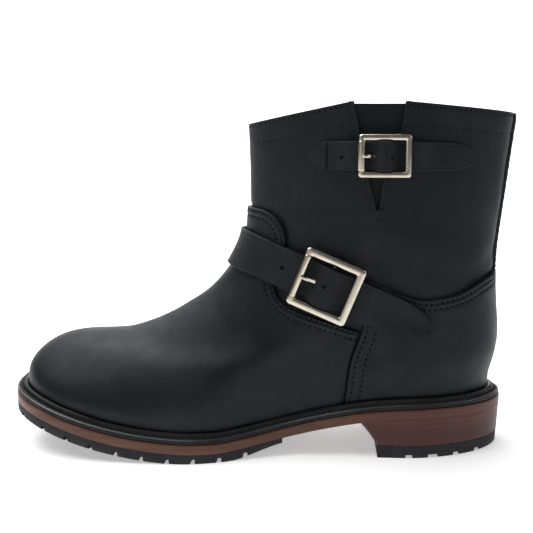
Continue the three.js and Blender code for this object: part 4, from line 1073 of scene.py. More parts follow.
def outline_loops(distance_at, count, end=None):
    """Left and right points of an outline from the toe to the heel, or to x = end."""
    phi = half_turns(count if end is None else 6 * count)
    loops = []
    for sign in (-1, 1):
        points = feather_point(sign * phi, distance_at(sign * phi))
        if end is not None:
            last = int(np.argmax(points[:, 0] > end))
            before, after = points[last - 1], points[last]
            cut = before + (after - before) * (end - before[0]) / (after[0] - before[0])
            points = even_steps(np.concatenate([points[:last], [cut]]), count)
        loops.append(points)
    return loops


def slab(name, profile, count, across, materials, end=None, angle=40.0):
    """A plate of the sole. profile is a list of (inset, height function) from top to bottom."""
    left_right = []
    for inset, height_at in profile:
        left, right = outline_loops(lambda phi: edge_width(phi) + 0.3 - inset, count, end)
        for side in (left, right):
            side[:, 2] = height_at(side[:, 0])
        left_right.append((left, right))
    loops = [np.concatenate([left, right[::-1]]) for left, right in left_right]
    size = 2 * count
    verts = list(np.concatenate(loops))
    faces = []
    for r in range(len(loops) - 1):
        for i in range(size):
            j = (i + 1) % size
            faces.append([r * size + i, r * size + j, (r + 1) * size + j, (r + 1) * size + i])
    for row, height_at in ((0, profile[0][1]), (len(loops) - 1, profile[-1][1])):
        left, right = left_right[row]
        grid = [[row * size + i for i in range(count)]]
        for k in range(1, across):
            share = k / across
            line = left + (right - left) * share
            line[:, 2] = height_at(line[:, 0])
            base = len(verts)
            verts.extend(line)
            grid.append(list(range(base, base + count)))
        grid.append([row * size + size - 1 - i for i in range(count)])
        for k in range(across):
            for i in range(count - 1):
                quad = [grid[k][i], grid[k][i + 1], grid[k + 1][i + 1], grid[k + 1][i]]
                faces.append(quad if row == 0 else quad[::-1])
        for column in (0, count - 1):
            faces.append([grid[k][column] for k in range(across + 1)])
    return make_mesh(name, np.array(verts), faces, materials, angle=angle, merge=0.001)


def make_midsole(materials):
    """The brown leather middle sole, its edge trimmed and slightly rounded."""
    top = lambda x: under(x) + MIDSOLE_THICK
    profile = [(0.35, top)]
    for out, share in ((0.06, 0.04), (-0.1, 0.16), (-0.16, 0.34), (-0.12, 0.5), (-0.16, 0.68), (-0.06, 0.86), (0.0, 0.97)):
        profile.append((out, lambda x, share=share: under(x) + MIDSOLE_THICK * (1 - share)))
    profile.append((0.06, under))
    piece = slab("midsole", profile, 260, 10, materials, angle=60)
    return finish_piece(piece, "midsole_leather", "midsole")


def make_insole(materials):
    """The plate inside, a little hollowed where the foot rests."""
    def top(x):
        along = x_to_along(x)
        dent = 0.9 * np.exp(-(((along - 0.13) / 0.09) ** 2)) + 0.8 * np.exp(-(((along - 0.70) / 0.1) ** 2))
        return under(x) + MIDSOLE_THICK + GAP + INSOLE_THICK - dent
    inset = lambda phi: -WALL - 2 * GAP
    def wall(more):
        return lambda phi: -WALL - 2 * GAP - more
    profile = [(0.5, top), (0.1, lambda x: top(x) - 0.3), (0.0, lambda x: top(x) - 0.9),
               (0.0, lambda x: under(x) + MIDSOLE_THICK + GAP)]
    rows = []
    for more, height_at in profile:
        left, right = outline_loops(wall(more), 150)
        loop = np.concatenate([left, right[::-1]])
        loop[:, 2] = height_at(loop[:, 0])
        rows.append(loop)
    verts = list(np.concatenate(rows))
    size = 300
    faces = []
    for r in range(len(rows) - 1):
        for i in range(size):
            j = (i + 1) % size
            faces.append([r * size + i, r * size + j, (r + 1) * size + j, (r + 1) * size + i])
    for row, height_at in ((0, top), (len(rows) - 1, lambda x: under(x) + MIDSOLE_THICK + GAP)):
        grid = [[row * size + i for i in range(150)]]
        left, right = rows[row][:150], rows[row][150:][::-1]
        for k in range(1, 10):
            line = left + (right - left) * (k / 10)
            line[:, 2] = height_at(line[:, 0])
            base = len(verts)
            verts.extend(line)
            grid.append(list(range(base, base + 150)))
        grid.append([row * size + size - 1 - i for i in range(150)])
        for k in range(10):
            for i in range(149):
                quad = [grid[k][i], grid[k][i + 1], grid[k + 1][i + 1], grid[k + 1][i]]
                faces.append(quad if row == 0 else quad[::-1])
        for end in (0, 149):
            faces.append([grid[k][end] for k in range(11)])
    piece = make_mesh("insole", np.array(verts), faces, materials, angle=50, merge=0.001)
    return finish_piece(piece, "insole_leather", "insole")


def outline_at(x, distance_at, sign):
    """y where an outline passes x on one side."""
    phi = np.linspace(0.001, np.pi - 0.001, 1200)
    points = feather_point(sign * phi, distance_at(sign * phi))
    order = np.argsort(points[:, 0])
    return float(np.interp(x, points[order, 0], points[order, 1]))


def block(centre, size, turn=0.0, taper=0.0):
    """A cutter box, narrower at its top by the taper, turned in plan."""
    (cx, cy, cz), (sx, sy, sz) = centre, size
    c, s = math.cos(turn), math.sin(turn)
    points = []
    for z, shrink in ((-sz / 2, 0.0), (sz / 2, taper)):
        for x, y in ((-1, -1), (1, -1), (1, 1), (-1, 1)):
            px, py = x * (sx / 2 - shrink), y * (sy / 2 - shrink)
            points.append((cx + c * px - s * py, cy + s * px + c * py, cz + z))
    faces = [[0, 3, 2, 1], [4, 5, 6, 7], [0, 1, 5, 4], [1, 2, 6, 5], [2, 3, 7, 6], [3, 0, 4, 7]]
    return make_mesh("cutter", np.array(points), faces, [])


def half_sole_bottom(x):
    end = float(along_to_x(HALF_SOLE_END))
    return under(x) - TREAD - FLAT + smooth(x, float(along_to_x(0.54)), end) * SKIVE


def make_half_sole(materials):
    """The rubber half sole with lugs at its edge and a crossed pattern in its middle."""
    end = float(along_to_x(HALF_SOLE_END))
    floor = lambda x: np.maximum(half_sole_bottom(x), 0.0)
    top = lambda x: under(x) - 0.05
    def part(share):
        return lambda x: np.maximum(top(x) * (1 - share) + half_sole_bottom(x) * share, floor(x))
    profile = [(0.0, top), (-0.1, part(0.08)), (-0.15, part(0.4)), (-0.1, part(0.8)), (0.25, part(0.93)), (0.8, floor)]
    piece = slab("outsole_forefoot", profile, 240, 10, materials, end=end, angle=40)
    distance_at = lambda phi: edge_width(phi) + 0.3
    cutters = []
    for along in SOLE_CUTS:
        x = float(along_to_x(along))
        for sign in (-1, 1):
            edge = outline_at(x, distance_at, sign)
            low = max(float(half_sole_bottom(x)), 0.0)
            reach = 30.0
            lean = sign * (0.08 if along < 0.8 else 0.4)
            back = sign * (reach / 2 - 5)
            centre = (x + math.sin(lean) * back, edge - math.cos(lean) * back, low)
            cutters.append(block(centre, (3.4, reach, 5.6), lean, taper=0.5))
    for i, along in enumerate(np.arange(0.535, 0.93, 0.049)):
        x = float(along_to_x(along))
        low = max(float(half_sole_bottom(x)), 0.0)
        middle = (outline_at(x, distance_at, -1) + outline_at(x, distance_at, 1)) / 2
        wide = (outline_at(x, distance_at, 1) - outline_at(x, distance_at, -1)) * 0.32
        for sign in (-1, 1):
            cutters.append(block((x, middle + sign * wide * 0.52, low), (2.6, wide, 4.4), sign * 0.55, taper=0.4))
    cut_with(piece, cutters, 40)
    return finish_piece(piece, "sole_rubber", "outsole_forefoot")


def heel_outline(inset, count, lip):
    """The heel's plan from the breast's middle round the back, left and right sides."""
    breast = float(along_to_x(BREAST))
    distance_at = lambda phi: edge_width(phi) + 0.3 - inset * (1 - 0.5 * smooth(np.abs(np.sin(phi)), 0, 1))
    phi = np.linspace(0.001, np.pi - 0.004, 900)
    sides = []
    for sign in (-1, 1):
        points = feather_point(sign * phi, distance_at(sign * phi))[:, :2]
        points = points[points[:, 0] > breast + skew(points[:, 1]) + 0.05]
        corner_y = outline_at(breast, distance_at, sign)
        corner = np.array([[breast + skew(corner_y), corner_y]])
        sides.append(even_steps(np.concatenate([corner, points]), count))
    left, right = sides
    share = np.linspace(-1, 1, 41)[1:-1]
    y = np.where(share < 0, -share * left[0, 1], share * right[0, 1])
    bow = breast - lip * (1 - share**8) + skew(y)
    front = np.stack([bow, y], axis=-1)
    loop = np.concatenate([front[::1], right, left[::-1]])
    return loop


def skew(y):
    """How far the breast lies back at y, as it runs a little askew."""
    return y * math.tan(math.radians(BREAST_SKEW))


def heel_solid(name, levels, materials, angle):
    """A heel block from plan outlines at rising heights, capped at both ends."""
    loops = []
    for inset, lip, height_at in levels:
        plan = heel_outline(inset, 120, lip)
        loops.append(np.column_stack([plan, height_at(plan[:, 0])]))
    size = len(loops[0])
    verts = np.concatenate(loops)
    faces = []
    for r in range(len(loops) - 1):
        for i in range(size):
            j = (i + 1) % size
            faces.append([r * size + i, r * size + j, (r + 1) * size + j, (r + 1) * size + i])
    faces.append(list(range(size)))
    faces.append(list(range((len(loops) - 1) * size, len(loops) * size)))
    return make_mesh(name, verts, faces, materials, angle=angle)


def make_heel(materials_stack, materials_lift):
    """The stacked leather block, its lifts just told apart, and the rubber top lift."""
    low = LIFT_THICK + 0.08
    lip = BREAST_REACH * BREAST_LIP * LENGTH
    shares = []
    lifts = 5
    for i in range(lifts):
        a, b = i / lifts, (i + 1) / lifts
        shares += [(a + 0.002, 0.02), (a + 0.014, 0.0), ((a + b) / 2, -0.03), (b - 0.014, 0.0), (b - 0.002, 0.02)]
    levels = []
    for share, dent in shares:
        levels.append((
            HEEL_TAPER * (1 - share) + dent,
            LIFT_LIP + (lip - LIFT_LIP) * share**1.05,
            lambda x, share=share: low + (under(x) - 0.05 - low) * share,
        ))
    stack = heel_solid("heel_stack", levels, materials_stack, 60)
    finish_piece(stack, "heel_leather", "heel_stack")
    profile = ((1.1, 0.0), (0.5, 0.5), (0.4, 1.4), (0.3, 4.0), (0.1, LIFT_THICK - 0.5), (0.3, LIFT_THICK))
    levels = [(HEEL_TAPER + inset, LIFT_LIP * h / LIFT_THICK, lambda x, h=h: h + 0 * x) for inset, h in profile]
    lift = heel_solid("top_lift", levels, materials_lift, 40)
    distance_at = lambda phi: edge_width(phi) - HEEL_TAPER
    cutters = []
    for along, wide in LIFT_CUTS:
        x = float(along_to_x(along))
        for sign in (-1, 1):
            edge = outline_at(x, distance_at, sign)
            cutters.append(block((x, edge - sign * 8.0, 0.0), (wide, 26.0, 4.0), sign * 0.05, taper=0.3))
    breast = float(along_to_x(BREAST))
    cutters.append(block((breast + 22, -9, 0), (30, 2.6, 3.6), 0.35, taper=0.4))
    cutters.append(block((breast + 22, 9, 0), (30, 2.6, 3.6), -0.35, taper=0.4))
    cut_with(lift, cutters, 40)
    finish_piece(lift, "sole_rubber", "top_lift")


# Stitches, the painted shade of their holes and their Geometry Nodes tree.

def stitch_tree():
    """Dark ellipsoids at even steps along the edges of a mesh, painted shade for the pricked holes, and a stitch from
    hole to hole.
    """
    tree = bpy.data.node_groups.new("Row of stitches", "GeometryNodeTree")
    face = tree.interface
    face.new_socket("Rows", in_out="INPUT", socket_type="NodeSocketGeometry")
    sizes = (
        ("Pitch", 0.0031), ("Stitch length", 0.0021), ("Thread", 0.0006), ("Hole length", 0.0012),
        ("Hole width", 0.0009), ("Hole depth", 0.0005),
    )
    for label, value in sizes:
        socket = face.new_socket(label, in_out="INPUT", socket_type="NodeSocketFloat")
        socket.default_value = value
    seed = face.new_socket("Seed", in_out="INPUT", socket_type="NodeSocketInt")
    seed.default_value = 7
    for label in ("Thread material", "Hole shade material"):
        face.new_socket(label, in_out="INPUT", socket_type="NodeSocketMaterial")
    face.new_socket("Stitches", in_out="OUTPUT", socket_type="NodeSocketGeometry")
    nodes, links = tree.nodes, tree.links
    start, end = nodes.new("NodeGroupInput"), nodes.new("NodeGroupOutput")
    curve = nodes.new("GeometryNodeMeshToCurve")
    links.new(start.outputs["Rows"], curve.inputs["Mesh"])
    resample = nodes.new("GeometryNodeResampleCurve")
    resample.mode = "LENGTH"
    links.new(curve.outputs["Curve"], resample.inputs["Curve"])
    links.new(start.outputs["Pitch"], resample.inputs["Length"])
    normal = nodes.new("GeometryNodeInputNamedAttribute")
    normal.data_type = "FLOAT_VECTOR"
    normal.inputs["Name"].default_value = "surface"
    tangent = nodes.new("GeometryNodeInputTangent")
    first = nodes.new("FunctionNodeAlignRotationToVector")
    first.axis = "X"
    links.new(tangent.outputs["Tangent"], first.inputs["Vector"])
    second = nodes.new("FunctionNodeAlignRotationToVector")
    second.axis = "Z"
    second.pivot_axis = "X"
    links.new(first.outputs["Rotation"], second.inputs["Rotation"])
    links.new(normal.outputs["Attribute"], second.inputs["Vector"])
    bead = nodes.new("GeometryNodeMeshUVSphere")
    bead.inputs["Segments"].default_value = 8
    bead.inputs["Rings"].default_value = 5
    bead.inputs["Radius"].default_value = 0.5
    jitter = nodes.new("FunctionNodeRandomValue")
    jitter.data_type = "FLOAT"
    jitter.inputs[2].default_value = 0.88
    jitter.inputs[3].default_value = 1.08
    links.new(start.outputs["Seed"], jitter.inputs["Seed"])
    join = nodes.new("GeometryNodeJoinGeometry")
    half = nodes.new("ShaderNodeMath")
    half.operation = "MULTIPLY"
    half.inputs[1].default_value = 0.5
    links.new(start.outputs["Pitch"], half.inputs[0])
    parts = (
        (("Stitch length", "Thread", "Thread"), "Thread material", half.outputs["Value"]),
        (("Hole length", "Hole width", "Hole depth"), "Hole shade material", None),
    )
    for (long, wide, deep), material, onward in parts:
        shape = nodes.new("ShaderNodeCombineXYZ")
        links.new(start.outputs[long], shape.inputs["X"])
        links.new(start.outputs[wide], shape.inputs["Y"])
        links.new(start.outputs[deep], shape.inputs["Z"])
        scaled = nodes.new("ShaderNodeVectorMath")
        scaled.operation = "SCALE"
        links.new(shape.outputs["Vector"], scaled.inputs[0])
        links.new(jitter.outputs[1], scaled.inputs["Scale"])
        place = nodes.new("GeometryNodeInstanceOnPoints")
        links.new(resample.outputs["Curve"], place.inputs["Points"])
        links.new(bead.outputs["Mesh"], place.inputs["Instance"])
        links.new(second.outputs["Rotation"], place.inputs["Rotation"])
        links.new(scaled.outputs["Vector"], place.inputs["Scale"])
        placed = place.outputs["Instances"]
        if onward is not None:
            shift = nodes.new("GeometryNodeTranslateInstances")
            step = nodes.new("ShaderNodeCombineXYZ")
            links.new(onward, step.inputs["X"])
            links.new(step.outputs["Vector"], shift.inputs["Translation"])
            links.new(placed, shift.inputs["Instances"])
            placed = shift.outputs["Instances"]
        real = nodes.new("GeometryNodeRealizeInstances")
        links.new(placed, real.inputs["Geometry"])
        paint = nodes.new("GeometryNodeSetMaterial")
        links.new(real.outputs["Geometry"], paint.inputs["Geometry"])
        links.new(start.outputs[material], paint.inputs["Material"])
        links.new(paint.outputs["Geometry"], join.inputs["Geometry"])
    links.new(join.outputs["Geometry"], end.inputs["Stitches"])
    return tree


def sew(name, rows, material, tree, sizes):
    """Rows of stitches as one plain mesh. A row is its points and the surface's directions."""
    verts, edges, directions = [], [], []
    for points, normals in rows:
        base = len(verts)
        verts.extend(to_metres(points).tolist())
        directions.extend(np.asarray(normals).tolist())
        edges.extend([(base + i, base + i + 1) for i in range(len(points) - 1)])
    mesh = bpy.data.meshes.new(name)
    mesh.from_pydata(verts, edges, [])
    field = mesh.attributes.new("surface", "FLOAT_VECTOR", "POINT")
    field.data.foreach_set("vector", np.array(directions, dtype=np.float32).ravel())
    piece = bpy.data.objects.new(name, mesh)
    bpy.context.scene.collection.objects.link(piece)
    modifier = piece.modifiers.new("stitches", "NODES")
    modifier.node_group = tree
    sockets = {item.name: item.identifier for item in tree.interface.items_tree if item.in_out == "INPUT"}
    modifier[sockets["Thread material"]] = material
    # The near-black blobs are the holes' painted shade.
    modifier[sockets["Hole shade material"]] = MADE["hole"]
    for label, value in sizes.items():
        modifier[sockets[label]] = value
    bpy.context.view_layer.update()
    settle(piece)
    keep = piece.data.attributes.get("surface")
    if keep is not None:
        piece.data.attributes.remove(keep)
    soften(piece, 180)
    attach(piece, "root")
    return piece


def inset_line(line, distance, side):
    """A line of the side view moved sideways by a distance."""
    run = np.gradient(line, axis=0)
    run = run / np.linalg.norm(run, axis=1, keepdims=True)
    moved = line + np.stack([-run[:, 1], run[:, 0]], axis=-1) * distance * side
    gap = distance_to(line, np.stack([moved[:, 0], 0 * moved[:, 0], moved[:, 1]], axis=-1))
    return moved[gap > distance - 0.12]


def on_side(line, lift, sign):
    """A side view line laid on one side of the form at a lift."""
    phi, t = find_on_side(line[:, 0], line[:, 1])
    ok = (phi > 0.02) & (phi < np.pi - 0.02)
    phi, t = sign * phi[ok], t[ok]
    return skin(phi, t, lift), outward(phi, t)


def both_sides(line, lift):
    return [on_side(line, lift, -1), on_side(line, lift, 1)]


# Shader groups and materials.

def new_group(name, inputs, outputs):
    tree = bpy.data.node_groups.new(name, "ShaderNodeTree")
    for label, kind, value in inputs:
        socket = tree.interface.new_socket(label, in_out="INPUT", socket_type=kind)
        if value is not None:
            socket.default_value = value
    for label, kind in outputs:
        tree.interface.new_socket(label, in_out="OUTPUT", socket_type=kind)
    return tree, tree.nodes.new("NodeGroupInput"), tree.nodes.new("NodeGroupOutput")


def noise(tree, vector, scale, detail=4.0, rough=0.5, distortion=0.0):
    node = tree.nodes.new("ShaderNodeTexNoise")
    node.inputs["Scale"].default_value = scale
    node.inputs["Detail"].default_value = detail
    node.inputs["Roughness"].default_value = rough
    node.inputs["Distortion"].default_value = distortion
    tree.links.new(vector, node.inputs["Vector"])
    return node.outputs["Fac"]


def ramp(tree, value, low, high, out_low=0.0, out_high=1.0):
    node = tree.nodes.new("ShaderNodeMapRange")
    node.interpolation_type = "SMOOTHSTEP"
    node.inputs["From Min"].default_value = low
    node.inputs["From Max"].default_value = high
    node.inputs["To Min"].default_value = out_low
    node.inputs["To Max"].default_value = out_high
    tree.links.new(value, node.inputs["Value"])
    return node.outputs["Result"]


def maths(tree, operation, a, b=None):
    node = tree.nodes.new("ShaderNodeMath")
    node.operation = operation
    for i, value in enumerate((a, b)):
        if value is None:
            continue
        if isinstance(value, (int, float)):
            node.inputs[i].default_value = value
        else:
            tree.links.new(value, node.inputs[i])
    return node.outputs["Value"]


def mix_colour(tree, factor, a, b, blend="MIX"):
    node = tree.nodes.new("ShaderNodeMix")
    node.data_type = "RGBA"
    node.blend_type = blend
    for index, value in ((0, factor), (6, a), (7, b)):
        if isinstance(value, (int, float)):
            node.inputs[index].default_value = value
        elif isinstance(value, tuple):
            node.inputs[index].default_value = value
        else:
            tree.links.new(value, node.inputs[index])
    return node.outputs[2]


def leather_group():
    """Fine leather grain: pebbled cells with pores, painted shade in the crevices between the cells, soft cloudiness
    and faint rubbed patches.
    """
    tree, start, end = new_group(
        "Leather grain",
        (
            ("Vector", "NodeSocketVector", None),
            ("Colour", "NodeSocketColor", (0.02, 0.02, 0.02, 1)),
            ("Rubbed colour", "NodeSocketColor", (0.05, 0.05, 0.05, 1)),
            ("Grain scale", "NodeSocketFloat", 900.0),
            ("Base roughness", "NodeSocketFloat", 0.5),
            ("Rubbing", "NodeSocketFloat", 0.5),
        ),
        (("Colour", "NodeSocketColor"), ("Roughness", "NodeSocketFloat"), ("Height", "NodeSocketFloat")),
    )
    links = tree.links
    vector = start.outputs["Vector"]
    cells = tree.nodes.new("ShaderNodeTexVoronoi")
    cells.feature = "DISTANCE_TO_EDGE"
    links.new(start.outputs["Grain scale"], cells.inputs["Scale"])
    warp = tree.nodes.new("ShaderNodeTexNoise")
    warp.inputs["Scale"].default_value = 260.0
    warp.inputs["Detail"].default_value = 2.0
    links.new(vector, warp.inputs["Vector"])
    push = tree.nodes.new("ShaderNodeVectorMath")
    push.operation = "MULTIPLY_ADD"
    push.inputs[1].default_value = (0.0016, 0.0016, 0.0016)
    links.new(warp.outputs["Color"], push.inputs[0])
    links.new(vector, push.inputs[2])
    links.new(push.outputs["Vector"], cells.inputs["Vector"])
    pebble = ramp(tree, cells.outputs["Distance"], 0.0, 0.28)
    fine = noise(tree, vector, 2600.0, 3.0)
    broad = noise(tree, vector, 34.0, 5.0, 0.55, 0.6)
    patch = noise(tree, vector, 90.0, 6.0, 0.62)
    rub = maths(tree, "MULTIPLY", ramp(tree, patch, 0.46, 0.72), start.outputs["Rubbing"])
    height = maths(tree, "ADD", maths(tree, "MULTIPLY", pebble, 0.62), maths(tree, "MULTIPLY", fine, 0.38))
    links.new(height, end.inputs["Height"])
    cloudy = mix_colour(tree, maths(tree, "MULTIPLY", ramp(tree, broad, 0.35, 0.7), 0.45),
                        start.outputs["Colour"], start.outputs["Rubbed colour"])
    # Painted shade: the colour darkens towards near-black in the low crevices between the pebbles.
    deep = mix_colour(tree, ramp(tree, pebble, 0.0, 0.5, 0.35, 0.0), cloudy, (0.004, 0.004, 0.005, 1))
    colour = mix_colour(tree, rub, deep, start.outputs["Rubbed colour"])
    links.new(colour, end.inputs["Colour"])
    rough = maths(tree, "ADD", start.outputs["Base roughness"], ramp(tree, broad, 0.3, 0.7, -0.05, 0.07))
    rough = maths(tree, "ADD", rough, ramp(tree, patch, 0.4, 0.75, 0.03, -0.05))
    rough = maths(tree, "ADD", rough, ramp(tree, pebble, 0.0, 1.0, 0.05, -0.02))
    links.new(rough, end.inputs["Roughness"])
    return tree


def dust_group():
    """Faint dust and scuffs that gather low on the boot."""
    tree, start, end = new_group(
        "Dust",
        (
            ("Vector", "NodeSocketVector", None),
            ("Colour", "NodeSocketColor", (0.02, 0.02, 0.02, 1)),
            ("Dust colour", "NodeSocketColor", (0.10, 0.09, 0.08, 1)),
            ("Top", "NodeSocketFloat", 0.05),
            ("Amount", "NodeSocketFloat", 0.2),
        ),
        (("Colour", "NodeSocketColor"), ("Mask", "NodeSocketFloat")),
    )
    links = tree.links
    split = tree.nodes.new("ShaderNodeSeparateXYZ")
    links.new(start.outputs["Vector"], split.inputs["Vector"])
    low = maths(tree, "DIVIDE", split.outputs["Z"], start.outputs["Top"])
    low = ramp(tree, low, 0.0, 1.0, 1.0, 0.0)
    specks = ramp(tree, noise(tree, start.outputs["Vector"], 420.0, 6.0, 0.7), 0.5, 0.8)
    mask = maths(tree, "MULTIPLY", maths(tree, "MULTIPLY", low, specks), start.outputs["Amount"])
    links.new(mix_colour(tree, mask, start.outputs["Colour"], start.outputs["Dust colour"]), end.inputs["Colour"])
    links.new(mask, end.inputs["Mask"])
    return tree


def start_material(name, **shader):
    material = bpy.data.materials.new(name)
    material.use_nodes = True
    tree = material.node_tree
    tree.nodes.clear()
    out = tree.nodes.new("ShaderNodeOutputMaterial")
    surface = tree.nodes.new("ShaderNodeBsdfPrincipled")
    tree.links.new(surface.outputs["BSDF"], out.inputs["Surface"])
    for label, value in shader.items():
        surface.inputs[label.replace("_", " ")].default_value = value
    where = tree.nodes.new("ShaderNodeTexCoord")
    return material, tree, surface, where.outputs["Object"]


def add_bump(tree, surface, height, distance, strength=1.0):
    bump = tree.nodes.new("ShaderNodeBump")
    bump.inputs["Strength"].default_value = strength
    bump.inputs["Distance"].default_value = distance
    tree.links.new(height, bump.inputs["Height"])
    tree.links.new(bump.outputs["Normal"], surface.inputs["Normal"])
    return bump


def leather(name, groups, colour, rubbed, grain=900.0, rough=0.5, rubbing=0.5, depth=0.00012, dust=0.15, **shader):
    material, tree, surface, vector = start_material(name, **shader)
    grained = tree.nodes.new("ShaderNodeGroup")
    grained.node_tree = groups["leather"]
    tree.links.new(vector, grained.inputs["Vector"])
    grained.inputs["Colour"].default_value = (*colour, 1)
    grained.inputs["Rubbed colour"].default_value = (*rubbed, 1)
    grained.inputs["Grain scale"].default_value = grain
    grained.inputs["Base roughness"].default_value = rough
    grained.inputs["Rubbing"].default_value = rubbing
    dusty = tree.nodes.new("ShaderNodeGroup")
    dusty.node_tree = groups["dust"]
    tree.links.new(vector, dusty.inputs["Vector"])
    tree.links.new(grained.outputs["Colour"], dusty.inputs["Colour"])
    dusty.inputs["Amount"].default_value = dust
    tree.links.new(dusty.outputs["Colour"], surface.inputs["Base Color"])
    tree.links.new(grained.outputs["Roughness"], surface.inputs["Roughness"])
    add_bump(tree, surface, grained.outputs["Height"], depth)
    return material


def metal(name, colour):
    """Warm polished nickel with fine brushing and cloudy, darker warm patches."""
    material, tree, surface, vector = start_material(name, Metallic=1.0, Base_Color=(*colour, 1))
    cloud = noise(tree, vector, 160.0, 4.0)
    scratches = noise(tree, vector, 1800.0, 6.0, 0.7, 1.2)
    rough = maths(tree, "ADD", ramp(tree, cloud, 0.3, 0.7, 0.16, 0.26), ramp(tree, scratches, 0.5, 0.8, 0.0, 0.1))
    tree.links.new(rough, surface.inputs["Roughness"])
    tint = mix_colour(tree, ramp(tree, cloud, 0.35, 0.75, 0.0, 0.5), (*colour, 1),
                      (colour[0] * 0.82, colour[1] * 0.76, colour[2] * 0.64, 1))
    tree.links.new(tint, surface.inputs["Base Color"])
    add_bump(tree, surface, scratches, 0.00002)
    return material


def sole_edge(name, light, dark, layers, rough, groups, streak=0.5, behind=None):
    """Trimmed leather edge: thin horizontal fibre layers, stained and lightly polished. With behind given, the heel's
    colour towards the back and painted shade that darkens the edge under the arch.
    """
    material, tree, surface, vector = start_material(name, Specular_IOR_Level=0.3)
    split = tree.nodes.new("ShaderNodeSeparateXYZ")
    tree.links.new(vector, split.inputs["Vector"])
    stretch = tree.nodes.new("ShaderNodeMapping")
    stretch.inputs["Scale"].default_value = (26.0, 26.0, 900.0)
    tree.links.new(vector, stretch.inputs["Vector"])
    fibres = noise(tree, stretch.outputs["Vector"], 1.0, 5.0, 0.65)
    bands = tree.nodes.new("ShaderNodeMapping")
    bands.inputs["Scale"].default_value = (5.0, 5.0, layers)
    tree.links.new(vector, bands.inputs["Vector"])
    broad = noise(tree, bands.outputs["Vector"], 1.0, 2.0, 0.5)
    blotch = noise(tree, vector, 70.0, 4.0)
    colour = mix_colour(tree, ramp(tree, broad, 0.3, 0.7), (*light, 1), (*dark, 1))
    if behind is not None:
        colour = mix_colour(tree, ramp(tree, split.outputs["X"], 0.03, 0.09), colour, (*behind, 1))
        # Painted shade: towards the arch, from x = -0.045 to 0.03 m, the edge darkens up to halfway to the dark colour.
        shade = ramp(tree, split.outputs["X"], -0.045, 0.03, 0.0, 0.5)
        colour = mix_colour(tree, shade, colour, (*dark, 1))
    colour = mix_colour(tree, ramp(tree, fibres, 0.45, 0.75, 0.0, streak), colour, tuple(c * 0.45 for c in dark) + (1,))
    colour = mix_colour(tree, ramp(tree, fibres, 0.2, 0.42, 0.35 * streak, 0.0), colour, tuple(min(1, c * 1.6) for c in light) + (1,))
    colour = mix_colour(tree, ramp(tree, blotch, 0.45, 0.8, 0.0, 0.4), colour, (*dark, 1))
    dusty = tree.nodes.new("ShaderNodeGroup")
    dusty.node_tree = groups["dust"]
    dusty.inputs["Amount"].default_value = 0.25
    tree.links.new(vector, dusty.inputs["Vector"])
    tree.links.new(colour, dusty.inputs["Colour"])
    tree.links.new(dusty.outputs["Colour"], surface.inputs["Base Color"])
    tree.links.new(ramp(tree, fibres, 0.3, 0.7, rough - 0.06, rough + 0.1), surface.inputs["Roughness"])
    add_bump(tree, surface, fibres, 0.00012)
    return material


def rubber(name, colour, groups):
    material, tree, surface, vector = start_material(name, Specular_IOR_Level=0.3)
    grain = noise(tree, vector, 1500.0, 4.0, 0.6)
    cloud = noise(tree, vector, 60.0, 4.0)
    base = mix_colour(tree, ramp(tree, cloud, 0.3, 0.75), (*colour, 1), tuple(c * 1.7 for c in colour) + (1,))
    dusty = tree.nodes.new("ShaderNodeGroup")
    dusty.node_tree = groups["dust"]
    dusty.inputs["Top"].default_value = 0.02
    dusty.inputs["Amount"].default_value = 0.35
    tree.links.new(vector, dusty.inputs["Vector"])
    tree.links.new(base, dusty.inputs["Colour"])
    tree.links.new(dusty.outputs["Colour"], surface.inputs["Base Color"])
    tree.links.new(ramp(tree, grain, 0.3, 0.7, 0.62, 0.8), surface.inputs["Roughness"])
    add_bump(tree, surface, grain, 0.0001)
    return material


def thread(name, colour):
    """Waxed thread with its twist."""
    material, tree, surface, vector = start_material(name, Specular_IOR_Level=0.25)
    twist = noise(tree, vector, 3200.0, 2.0)
    base = mix_colour(tree, ramp(tree, twist, 0.35, 0.65), (*colour, 1), tuple(c * 2.2 for c in colour) + (1,))
    tree.links.new(base, surface.inputs["Base Color"])
    tree.links.new(ramp(tree, twist, 0.3, 0.7, 0.45, 0.65), surface.inputs["Roughness"])
    add_bump(tree, surface, twist, 0.00008)
    return material


def hole(name, colour):
    """Painted shade: the dark inside a pricked hole, laid on as a near-black, hardly shiny blob."""
    material, tree, surface, vector = start_material(name, Specular_IOR_Level=0.02, Roughness=0.9)
    cloud = noise(tree, vector, 900.0, 2.0)
    base = mix_colour(tree, cloud, (*colour, 1), tuple(c * 2 for c in colour) + (1,))
    tree.links.new(base, surface.inputs["Base Color"])
    return material


MADE = {}


